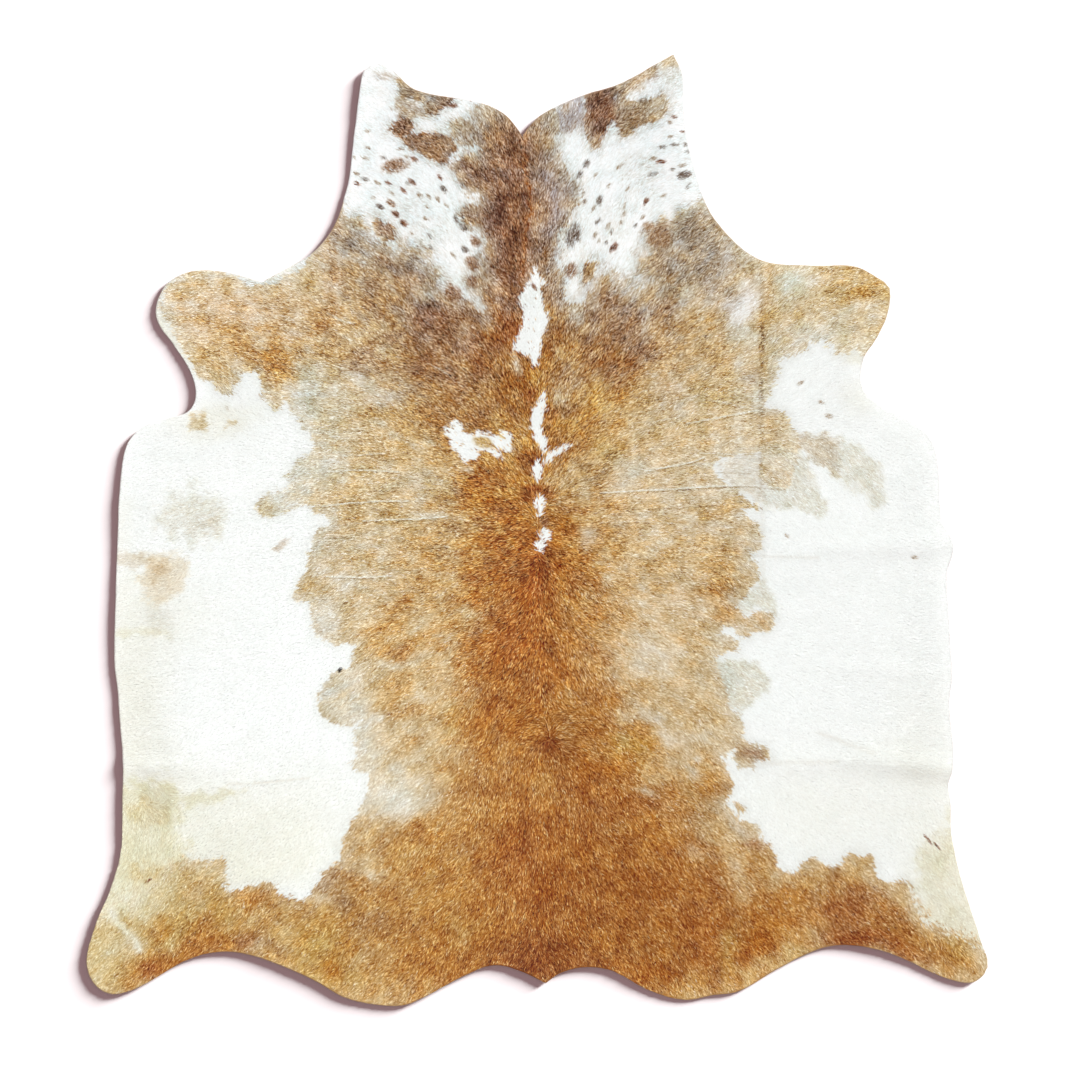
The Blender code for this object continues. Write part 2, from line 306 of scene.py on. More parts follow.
# The coloured coat, from the neck down the left side, under the hide's lower rim and up the right
# side. Where it reaches the rim, the border runs outside it.
BROWN_COAT = [
    # neck, left half
    (-12.3, 99), (-12.3, 93.4), (-13.8, 92.2), (-14.6, 90.8), (-16, 90), (-18, 89.8), (-19.4, 88.8),
    (-19, 87.4), (-17.8, 86.5), (-16.9, 85), (-15.5, 84.2), (-13.5, 84.5), (-12.2, 83.8),
    (-12.8, 82.5), (-14.5, 82.2), (-16.3, 82), (-17.8, 81), (-18.7, 79.6), (-17.9, 78),
    (-16.8, 76.6), (-15.7, 75), (-14.2, 73.4), (-13, 73), (-12.5, 71.8), (-13.5, 71), (-15.3, 70.7),
    (-16.5, 69.5), (-16.3, 68.3), (-15.6, 66.8), (-14, 66.2), (-12.8, 65.6), (-12.3, 64.4),
    (-11, 63.2), (-10.5, 62), (-12, 60.8), (-11.9, 59), (-12.3, 57), (-12.9, 55), (-13.3, 53),
    (-12.2, 50.5), (-11.3, 48.2), (-11.6, 47.5),
    # left shoulder, towards the rim
    (-13, 49), (-14.5, 50.3), (-16.5, 50.8), (-19.5, 51), (-20.2, 52), (-20.7, 53.5), (-21.4, 55.5),
    (-22.2, 57), (-23, 59), (-24, 60.6), (-25.5, 61.8), (-27.4, 62.3), (-29, 61.6), (-30.5, 61.3),
    (-31.5, 62), (-33, 62.8), (-35.6, 64.6), (-36.2, 66.2), (-37.5, 67), (-39, 69), (-40.5, 68.8),
    (-42.5, 71.5), (-46, 74), (-52, 68), (-49.6, 62), (-50.3, 59.2), (-51.5, 57.2), (-53, 56),
    (-56, 54.8), (-59, 54.2), (-62, 53.7), (-65, 55), (-67, 56.2), (-70, 57.6), (-74, 58),
    (-78, 57),
    # left foreleg
    (-81, 54), (-82, 51.5), (-82, 49), (-81.3, 46.5), (-80, 44.5), (-78.5, 42), (-77.5, 40),
    (-76, 37.5), (-75, 35.5), (-74, 34), (-72.5, 33), (-71, 32.3), (-70, 30.5), (-69, 29.7),
    (-67, 29.8), (-66, 31), (-65, 32.5), (-64.5, 34), (-63, 34.8), (-61.5, 34.5), (-60.8, 33),
    (-59.3, 31.5), (-59.2, 30.5), (-60.2, 29.4), (-59, 28), (-58, 27), (-57, 26), (-56.3, 26.3),
    (-55.4, 27.8), (-54.9, 29.3), (-54.5, 28), (-54, 26.5), (-53, 25), (-51.5, 23.5), (-50.5, 22),
    (-49.2, 20.8), (-48.7, 19.2),
    # left flank
    (-48.9, 17.8), (-51.4, 16.3), (-53, 15), (-54, 13), (-55, 12), (-54, 11), (-54.5, 9.8),
    (-56, 9.3), (-58, 8.6), (-60, 7.2), (-61, 5.5), (-60.8, 4), (-59.5, 3.2), (-57.5, 3),
    (-55.5, 3.6), (-54, 4.2), (-53, 5.2), (-51.5, 5.8), (-50, 5.6), (-48.8, 5), (-48, 4),
    (-46.5, 3.2), (-45.3, 2.2), (-45.5, 1.5), (-47, 1), (-47.8, 0), (-48, -1.2), (-49, -2.6),
    (-49.5, -4), (-49.8, -5.5), (-50.2, -7), (-49.8, -8.5), (-51.2, -10), (-52, -11.5),
    (-52.6, -13), (-52.9, -14.6), (-51.8, -15.4), (-50.2, -15.7), (-49, -16.2), (-49.3, -17.5),
    (-48.6, -18.8), (-48.8, -20.5), (-48.3, -21.8), (-47.5, -23.5), (-46.3, -24), (-45, -24.7),
    (-43.5, -25.2), (-42, -24.9), (-40.8, -24.6), (-40, -25.4), (-40.2, -27), (-40, -28.3),
    (-39.8, -29.5), (-40.5, -30.2), (-42.5, -30.6), (-44, -31.6), (-45.5, -33.2), (-47, -35),
    (-47.8, -36.8), (-47.9, -38.2), (-47.3, -39.8), (-46.5, -41), (-45.3, -41.9), (-44, -42.3),
    (-42, -42.6), (-40.5, -42.7), (-39.3, -42), (-38.2, -41.6), (-38.8, -43), (-39.8, -44.5),
    (-39.6, -46), (-39.8, -48), (-39, -49.8), (-40.2, -51), (-40.2, -52.6), (-38.6, -53.1),
    (-37, -52.8), (-36.5, -53.5), (-36.8, -55), (-36.4, -56.5), (-37.4, -58), (-38, -60),
    (-38.3, -62),
    # left buttock and hind leg
    (-39.3, -63.3), (-40.3, -63.8), (-41.2, -65.2), (-42, -66.8), (-42.6, -68.5), (-43, -70.5),
    (-43, -72), (-43.6, -73), (-45.4, -74.3), (-46.4, -75.3), (-46.8, -76.5), (-47.6, -77.5),
    (-48.6, -78), (-49, -79), (-49.8, -80.2), (-50.5, -81.3), (-52, -81.4), (-53.5, -80.8),
    (-54.8, -79.6), (-55, -79), (-56.3, -79.8), (-56.8, -79), (-56.9, -78.2), (-58, -77.3),
    (-59.5, -77), (-61.5, -77.5), (-63.5, -78), (-65.5, -78.8), (-66.8, -79.6), (-68, -79),
    (-67.6, -77), (-67.9, -75), (-68.4, -73), (-68.9, -71.6), (-70, -71.8), (-71.5, -72.2),
    (-73.5, -72.2), (-75.5, -72), (-77, -71.4), (-78.6, -73), (-81, -75), (-84, -77.4),
    (-88, -79.6), (-93, -82), (-99, -85), (-106, -90), (-104, -110), (0, -116), (104, -110),
    (106, -96),
    # right hind leg and buttock
    (97.5, -91), (95, -89.5), (92.5, -88), (90, -87), (88, -86.5), (85.6, -86.5), (85, -84.5),
    (84, -82), (83.8, -80.5), (82.5, -79.8), (81.8, -78.2), (80.7, -76.4), (79.5, -76.6),
    (78, -77.2), (76, -77), (74.8, -76.2), (74.2, -74), (73.8, -72.3), (72.5, -71.3), (70.8, -71.4),
    (68.7, -71), (67.5, -71.8), (66.8, -73), (64.7, -73.2), (63.3, -73.3), (61.5, -72.4),
    (59.5, -72), (58, -73), (57, -74.5), (55.5, -75), (54.3, -74.6), (53, -73.3), (52.2, -71.3),
    (51.5, -69.5), (50, -68.8), (49, -66.8), (48, -65), (46.5, -64), (44.5, -63.8), (43, -62.8),
    (42.2, -61), (41.2, -59.8),
    # right flank
    (42.3, -58.8), (42.8, -57), (42.9, -55), (42.3, -53), (41.5, -51.5), (40.8, -50.3), (41, -48.8),
    (42.3, -48.3), (43.3, -48.8), (42.6, -50), (43.2, -50.8), (44.5, -51.8), (46, -52.5),
    (47.3, -52), (48.2, -50.8), (49.5, -50.3), (50.9, -50), (50.6, -48.8), (49.8, -47.5),
    (48, -46.8), (46.5, -46), (45.5, -45), (45.2, -43.5), (44.2, -41.8), (43.2, -40), (42.6, -38.5),
    (41.5, -36), (40.5, -33.5), (39.8, -31), (39.4, -29), (39.2, -28), (40.5, -27), (42.5, -27),
    (44, -26.3), (44.5, -25), (43.6, -24), (41.5, -23.5), (40.5, -22.5), (40.8, -21), (42, -21),
    (43.8, -22), (44.5, -23.3), (46, -23.5), (47, -22.8), (48.5, -22.3), (50, -22.8), (51.2, -22),
    (52.2, -20.5), (52.3, -19), (51, -18), (50, -17.5), (48.6, -17.2), (47.5, -18), (46.3, -18.8),
    (45, -18.3), (44.5, -17), (43.5, -15.5), (44, -14.8), (45.8, -14.3), (46.6, -12.8),
    (47.8, -11.5), (48.6, -10.5), (48.3, -9), (47.5, -7), (47, -5.2), (48.8, -4), (49.2, -1.5),
    (49, 0), (48, 1.8), (46.5, 3.3), (45.3, 4.4), (46.8, 4.3), (48.3, 4.3), (49.2, 5), (48, 6),
    (45.8, 7), (44.3, 8.4), (42.5, 10), (40.5, 11.2), (39, 12.6), (38.8, 14), (40.6, 15.6),
    (44, 16.6), (48.9, 16.8), (49, 13), (49, 9.6), (52, 9), (54.5, 9.4), (56, 11), (56.6, 14),
    (57.3, 17), (57.2, 20.2), (56.2, 21.8), (55.3, 23.5), (54.8, 25), (53.6, 26), (52, 26.6),
    (50.2, 27.3), (50.4, 28.3), (50.8, 29.6), (51.8, 31.3), (52.6, 33), (53.3, 34.5), (53.2, 36.2),
    # right foreleg
    (54, 37.2), (55.5, 38), (57.5, 39), (59.3, 40), (60, 41), (61.5, 41.5), (63, 41.3),
    (64.2, 40.2), (65.5, 38.8), (67.5, 38.5), (69, 39), (70.5, 38.5), (71.8, 37.8), (76, 36),
    (86, 50), (80, 64), (60, 66), (50, 66), (44, 78), (39, 76),
    # right shoulder
    (37, 72.3), (35.5, 71.8), (33.5, 71), (31.5, 70.5), (30.5, 69.5), (29.6, 67.8), (28, 68.5),
    (26.5, 67.5), (25, 65.8), (23.9, 64), (23.8, 62.6), (24.5, 61.8), (24, 60.5), (22.8, 59),
    (22.7, 57), (22.3, 54), (21, 51.8), (20.4, 52.2), (19.8, 54), (18.5, 54.5), (17.3, 56),
    (16.2, 54), (15.3, 55.2), (14.5, 56), (13, 54.5), (12.3, 52.8), (11, 52), (10.5, 50), (9, 49.3),
    (7.5, 49.6), (6.2, 51),
    # neck, right half
    (5.6, 52.5), (6, 54.8), (6.3, 56.5), (5.2, 57), (5.1, 58.5), (5.2, 60.8), (5, 63), (5.3, 65),
    (6.3, 66.3), (7.6, 67.8), (7.8, 69.5), (8.6, 71.5), (9.5, 74), (9.7, 76), (8.6, 77.2),
    (6.8, 77.5), (5.9, 79), (5.6, 80.5), (4.8, 82), (4, 84), (4.6, 85.5), (4.8, 87.5), (4.5, 89.5),
    (4.2, 91.5), (4.2, 99),
]

# Where the border of the brown coat is softer than elsewhere: x, y, reach, how many cm more
SOFT_BORDERS = [
    (-87, -79, 12, 7.0), (92, -87, 7, 4.5), (83.5, -80, 4.5, 2.5), (-80, 50, 9, 1.6),
    (56, 40, 7, 0.8), (-17, 68, 12, 0.9), (9, 72, 12, 1.1), (-28, 61, 8, 1.2), (18, 55, 8, 1.0),
    (33, 70, 8, 1.6), (-38, 68, 6, 1.2),
]
BORDER_SOFTNESS = 0.9
BORDER_PALING = 0.3  # how far the brown hair goes towards pale oat at its border
FLANK_PALING = 0.5  # the same at the flanks
PALING_REACH = 4.5
HALO_REACH = 2.4  # how far from the coloured coat the white hair is greyer
HALO_SHARE = 0.2
NECK_HALO_SHARE = 0.55
OUTLINE_MARGIN = 2  # how far around a small outline its border is worked out
MARK_INSET = 0.1
MARK_SOFTNESS = 1.0
MARK_FRINGE = 0.4  # how much of the borders' raggedness the white marks have, and the islands
MARK_WHITE = 0.97  # the share of white wisps in the middle of a mark
ISLAND_SOFTNESS = 0.9
ISLAND_FRINGE = 0.5

# White marks along the spine, from the neck to the loin, and the splash to their left
WHITE_MARKS = {
    "withers": [
        (-0.4, 57.6), (-1.4, 55), (-2.4, 53), (-3.2, 51.3), (-3.8, 50.2), (-3.3, 49), (-2.7, 47.8),
        (-2.6, 46.2), (-3.2, 44.3), (-3.8, 43), (-4.5, 41.5), (-5.3, 40.3), (-4.9, 39),
        (-3.8, 38.5), (-2.6, 38), (-1.2, 37.6), (-0.8, 36.5), (-0.3, 35.6), (0.2, 36.5), (0.6, 38),
        (1, 40), (1.3, 42.2), (2.2, 43.5), (2.6, 45.5), (2.6, 47), (2, 48.5), (1.4, 49.5),
        (1.3, 51), (0.9, 52.8), (1.7, 53.5), (1.7, 54.5), (0.8, 54.8), (0.5, 56),
    ],
    "back": [
        (1.6, 29.9), (0.8, 28.5), (-0.3, 26.8), (-1.2, 25.2), (-1.2, 23), (-0.8, 21.5),
        (-0.4, 19.8), (0.2, 18.6), (0.8, 17.6), (1.4, 16.2), (2, 17.2), (2.3, 18.5), (2.5, 19.8),
        (1.4, 20.8), (1.2, 22.4), (1.5, 24.2), (1.7, 25.6), (2.2, 27.4), (2.1, 28.6),
    ],
    "branch": [
        (1.5, 15.2), (1.8, 14.1), (2.6, 14.9), (3.8, 15.8), (5, 16.5), (6.2, 17.3), (7.6, 18.6),
        (6.6, 18.7), (5.2, 18.2), (3.6, 17.4), (2.5, 16.7),
    ],
    "loin, first": [
        (0, 15.1), (-0.8, 13.6), (-0.7, 12.4), (-0.1, 11), (0.3, 10), (0.8, 11), (1.1, 12.6),
        (1.2, 13.8), (0.8, 14.6),
    ],
    "loin, second": [
        (0.4, 7.2), (-0.1, 5.6), (-0.1, 4.4), (0.5, 2.9), (1.2, 3.4), (1.4, 4.8), (1.4, 6.2),
        (1, 7),
    ],
    "loin, third": [
        (1.6, 1.1), (1.9, 0.1), (2.8, -0.3), (2.8, -1.2), (2.2, -2.6), (1.4, -3.8), (0.8, -4.8),
        (0.1, -4.4), (0, -3.4), (0.4, -2.2), (0.8, -1), (1, 0),
    ],
    "splash": [
        (-18.6, 23.8), (-18, 22.4), (-20.2, 22.6), (-19.6, 21.4), (-20, 20.9), (-18.8, 19.6),
        (-18.4, 17.6), (-17, 16.6), (-16, 15.4), (-15.3, 14.2), (-14.4, 15.2), (-12.9, 15.6),
        (-12.3, 16.6), (-13, 17.2), (-11.5, 17.3), (-10.2, 16.8), (-8.6, 15.9), (-7, 15.2),
        (-7.7, 16.8), (-9.4, 18.1), (-9, 18.6), (-7.8, 17.5), (-6.5, 16.9), (-5, 16.7),
        (-4.9, 17.6), (-5.5, 18.6), (-5.2, 19.6), (-4.9, 20.6), (-6, 21.6), (-7.4, 21.6),
        (-8.6, 20.8), (-10, 20.5), (-10.2, 21.2), (-12.4, 21.4), (-13.5, 20.9), (-15.6, 21.6),
        (-16.4, 23), (-17.2, 23.9),
    ],
}

# Brown patches that stand apart from the brown coat
BROWN_ISLANDS = {
    "left neck, upper": [
        (-32.2, 87.8), (-31.2, 89.4), (-29.5, 90.3), (-27.6, 90), (-26.6, 88.7), (-27.5, 87),
        (-29, 86.2), (-30.8, 86.2),
    ],
    "left neck, long": [
        (-29.3, 85.8), (-27, 86.6), (-24.5, 87.4), (-21.5, 87.2), (-19, 86), (-17.5, 84.8),
        (-17.3, 83.2), (-18.8, 82), (-19.3, 80.7), (-20.8, 79.8), (-22.8, 81), (-25, 82.3),
        (-27.3, 83.4), (-28.8, 84.6),
    ],
    "left neck, rim": [
        (-29.6, 100), (-17, 96.5), (-17.9, 94.4), (-19.5, 93.1), (-20.8, 92), (-22, 91),
        (-23.6, 91.2), (-24.2, 92.5), (-24.8, 93.8), (-27, 94.7), (-29, 95), (-29.9, 96),
        (-30.5, 99),
    ],
    "left shoulder, apart": [
        (-35.3, 68.8), (-34.6, 68.2), (-32.4, 67.2), (-31, 65.8), (-30.5, 64), (-31.3, 63.3),
        (-32.8, 62.9), (-34.3, 63.4), (-35.3, 64.8), (-35.6, 66.6),
    ],
    "right neck, rim": [
        (10, 96.5), (10.6, 93), (10.8, 91.5), (10.3, 89.5), (10.6, 87), (11.3, 85.5), (12.2, 83.6),
        (13, 83.2), (13.9, 84.3), (14.8, 86.5), (15.8, 88.6), (16.5, 89.6), (17.3, 88.8),
        (17.8, 87), (18.3, 86.1), (19.6, 86.6), (21, 86.8), (21.4, 88.3), (23, 89), (25, 89.4),
        (27.3, 90.3), (28.6, 91.8), (29.2, 93.3), (28.8, 94.8), (27.5, 95.4), (25, 94.8),
        (23.5, 94.6), (21.5, 94.2), (20, 94.2), (19.4, 95.2), (19.8, 96.3), (20.8, 97.3), (22, 98),
        (23.5, 98.3), (25, 99), (25.6, 100.3), (24.6, 102.5), (14, 99),
    ],
    "right neck, lower": [
        (9.8, 54.2), (10.5, 53.9), (12, 55), (13.3, 58), (13.4, 58.8), (12.3, 59), (10.8, 58.2),
        (10.1, 56.2),
    ],
    "left flank, small": [
        (-37.4, -58.9), (-36.4, -58), (-35, -57.2), (-35, -58), (-35.8, -58.9), (-37, -59.3),
    ],
    "right flank, small": [
        (43, -59.7), (44.5, -59.9), (45.6, -61), (45.4, -62.1), (44.2, -61.3), (43.2, -60.5),
    ],
}

# Roan areas, where coloured and white hair mix: outline, softness in cm, how far to the tone, the
# tone, and how much of the grain shows
Haze = namedtuple("Haze", "outline soft share tone life", defaults=(1.0,))
ROAN_AREAS = {
    "neck rim": Haze([
        (4.8, 98), (4.6, 90), (5.2, 87.5), (7, 86.8), (9, 87), (10.6, 89), (11, 98),
    ], 1.4, 0.75, "lilac smoke"),
    "ear spot": Haze([
        (-35, 99.6), (-34, 100.7), (-31.5, 100.6), (-30.4, 99.5), (-31.5, 98.4), (-34, 98.5),
    ], 0.6, 0.7, "pale smoke"),
    "ear smudge": Haze([
        (-31, 92.8), (-29, 94.4), (-26, 94), (-24.3, 92.8), (-24.6, 90.8), (-29.5, 91),
    ], 0.9, 0.75, "pale smoke"),
    "left neck, mixed": Haze([
        (-10.5, 64), (-13, 62), (-15, 60), (-16, 57), (-15.6, 53.4), (-13.6, 50.6), (-11, 48),
        (-9, 52), (-9, 58),
    ], 1.6, 0.5, "smoke"),
    "left shoulder, mixed": Haze([
        (-31, 66), (-27, 63.6), (-23, 61.6), (-20, 55), (-17, 52.4), (-21, 50), (-28, 58),
    ], 1.2, 0.4, "pale smoke"),
    "right shoulder, mixed": Haze([
        (23, 66), (21.6, 62), (21, 57), (18, 56.6), (14, 58.4), (9.6, 55), (8, 51), (20, 50),
        (27, 62),
    ], 1.0, 0.35, "pale smoke"),
    "right ear tip": Haze([
        (26.4, 102.8), (27.8, 101.5), (31.4, 101.6), (31.5, 103), (29.8, 106), (27, 104),
    ], 0.6, 0.55, "tan"),
    "right ear, inner": Haze([
        (17, 97.2), (20.6, 96.6), (23.6, 97.6), (26, 99.4), (26.6, 102.6), (21, 101.6), (16, 99.4),
    ], 0.8, 0.7, "pale smoke"),
    "right ear, faint": Haze([
        (27, 97), (32, 95), (33, 101), (29, 102.6),
    ], 1.4, 0.3, "pearl"),
    "right neck, faint": Haze([
        (17, 84), (24, 82), (28, 78), (26, 74), (19, 76),
    ], 2.2, 0.25, "pearl", 1.6),
    "arm, near": Haze([
        (57.2, 20.2), (58.5, 20.8), (60, 21), (61.5, 20.6), (63, 21.3), (64.5, 20.4), (66.5, 20),
        (66.5, 11.5), (65, 12.5), (64.2, 13.9), (62.8, 14.4), (61, 14.6), (60, 15.2), (58.5, 17.5),
        (57, 19),
    ], 0.6, 0.95, "rosy roan"),
    "arm, far": Haze([
        (66.5, 20.2), (68.5, 19.3), (70.5, 18.2), (72.5, 17), (74.2, 15.2), (75.3, 13.5),
        (75.6, 12), (75, 10.5), (75.8, 8.5), (76, 6.5), (74.8, 5.2), (73.6, 5.3), (72.5, 6.8),
        (71.2, 8), (69.3, 8.6), (67.8, 9.8), (66.5, 11.5),
    ], 1.0, 0.7, "roan"),
    "flank lobe": Haze([
        (56.5, 19), (55, 14), (53.5, 9.5), (49.3, 9.4), (49.5, 5.4), (51, 5.4), (52.5, 4.8),
        (55, 4.5), (58, 4.8), (60, 4.2), (61.5, 3.2), (63, 4.3), (63, 6.8), (61.8, 8.8), (60.8, 10),
        (60.3, 12), (59.8, 14), (59, 16), (57.5, 18),
    ], 0.9, 0.75, "roan"),
    "flank window": Haze([
        (44, 8.4), (40.2, 11.4), (38.9, 13), (39.6, 15), (43, 16.7), (49.2, 17), (49.3, 9),
        (50, 6.2), (48.5, 6.4), (46, 7.4),
    ], 0.8, 0.6, "rosy roan"),
    "right lobe, upper": Haze([
        (45.8, -14.5), (47.5, -12.4), (49.6, -11), (50.6, -13), (52, -14.5), (53, -16.5),
        (52.7, -18.8), (50.5, -17.6), (48, -17.2), (46, -18.8), (44, -17.2), (43.5, -15.6),
    ], 0.7, 0.7, "roan"),
    "right lobe, lower": Haze([
        (38.5, -28), (41, -28.2), (45, -28.2), (47.5, -29.2), (49.8, -31), (50.8, -33), (50, -35),
        (48, -36), (46.5, -38), (44.5, -39), (42, -39), (40, -34),
    ], 0.8, 0.9, "roan"),
    "left smudge": Haze([
        (-83, 4), (-80, 8), (-75, 9.5), (-71, 7), (-68.5, 4), (-69.5, 0), (-73, -2.5), (-78, -1.5),
        (-82, 0.5),
    ], 2.4, 0.65, "roan"),
    "left smudge, core": Haze([
        (-74.5, 2.5), (-72, 4.5), (-69.8, 3), (-70, 0.4), (-72.5, -0.8), (-74.6, 0.6),
    ], 1.2, 0.5, "ash"),
    "left tan smudge": Haze([
        (-86.5, -6), (-83, -5.2), (-78.5, -5.6), (-75.6, -6.4), (-76.4, -9.5), (-78, -13),
        (-79.6, -15.6), (-82.5, -15.8), (-85.4, -14.8), (-86.4, -10),
    ], 1.3, 0.42, "sand", 0.7),
    "left tan smudge, core": Haze([
        (-84.2, -7.5), (-80.6, -7.5), (-80.4, -10.4), (-83.2, -11.4),
    ], 1.5, 0.5, "tan", 0.7),
    "left smudge, lower": Haze([
        (-85.5, -18.2), (-81, -17.6), (-80, -20.5), (-80.6, -23.6), (-84.5, -23.8),
    ], 1.2, 0.35, "ash", 0.6),
    "left band": Haze([
        (-93, -21.8), (-86, -21.6), (-81, -22), (-81, -23.3), (-86, -23.2), (-93, -23.2),
    ], 0.6, 0.4, "straw", 0.5),
    "left band, upper": Haze([
        (-93, -4.8), (-86, -5.6), (-84, -6.4), (-86, -8), (-93, -8),
    ], 0.7, 0.55, "oat", 0.6),
    "left streak": Haze([
        (-57.4, -4), (-56.6, -3.2), (-54, -1.7), (-54.6, -2.7), (-56.4, -4.4),
    ], 0.35, 0.6, "pale smoke"),
    "left tan speck": Haze([
        (-68.2, 22.2), (-67.2, 23.8), (-65.6, 24), (-66.2, 23.2), (-67.6, 22.6),
    ], 0.35, 0.5, "hay"),
    "left tan shade": Haze([
        (-75.4, 22.6), (-75, 25), (-72.4, 25.4), (-72, 22),
    ], 0.9, 0.6, "hay"),
    "cream, left": Haze([
        (-98, -55), (-87, -55), (-81, -55.6), (-78, -57.5), (-77.6, -62), (-78.2, -67),
        (-75.5, -72), (-80, -82), (-88, -90), (-106, -92),
    ], 2.2, 0.95, "straw", 0.5),
    "whorl, left": Haze([
        (-90.5, -60.5), (-86, -59.6), (-82, -60), (-79.6, -61.6), (-82, -64.2), (-86, -64.6),
        (-90, -63.6),
    ], 1.4, 0.42, "wheat", 0.6),
    "wheat, left": Haze([
        (-88, -74.6), (-80, -73), (-76, -72), (-78, -79), (-86, -82),
    ], 2.6, 0.6, "wheat", 0.6),
    "cream band, left": Haze([
        (-82, -57.2), (-76, -57.4), (-69, -57.8), (-64, -57), (-69, -59.6), (-76, -60.2),
        (-82, -60.6),
    ], 0.9, 0.75, "straw", 0.5),
    "cream, right": Haze([
        (83, -79), (83.4, -74), (84.6, -69.5), (88, -67), (91, -63), (94, -58), (104, -92),
        (94, -92), (86, -89),
    ], 2.2, 0.95, "cream", 0.5),
    "straw, right": Haze([
        (84.6, -69.8), (88, -69), (91, -71.4), (90, -75), (86, -75),
    ], 1.6, 0.45, "straw", 0.6),
}
HAZE_MARGIN = 3
HAZE_FRINGE = 0.6
HAZE_MIX = 0.25  # how unevenly single wisps take part in a haze

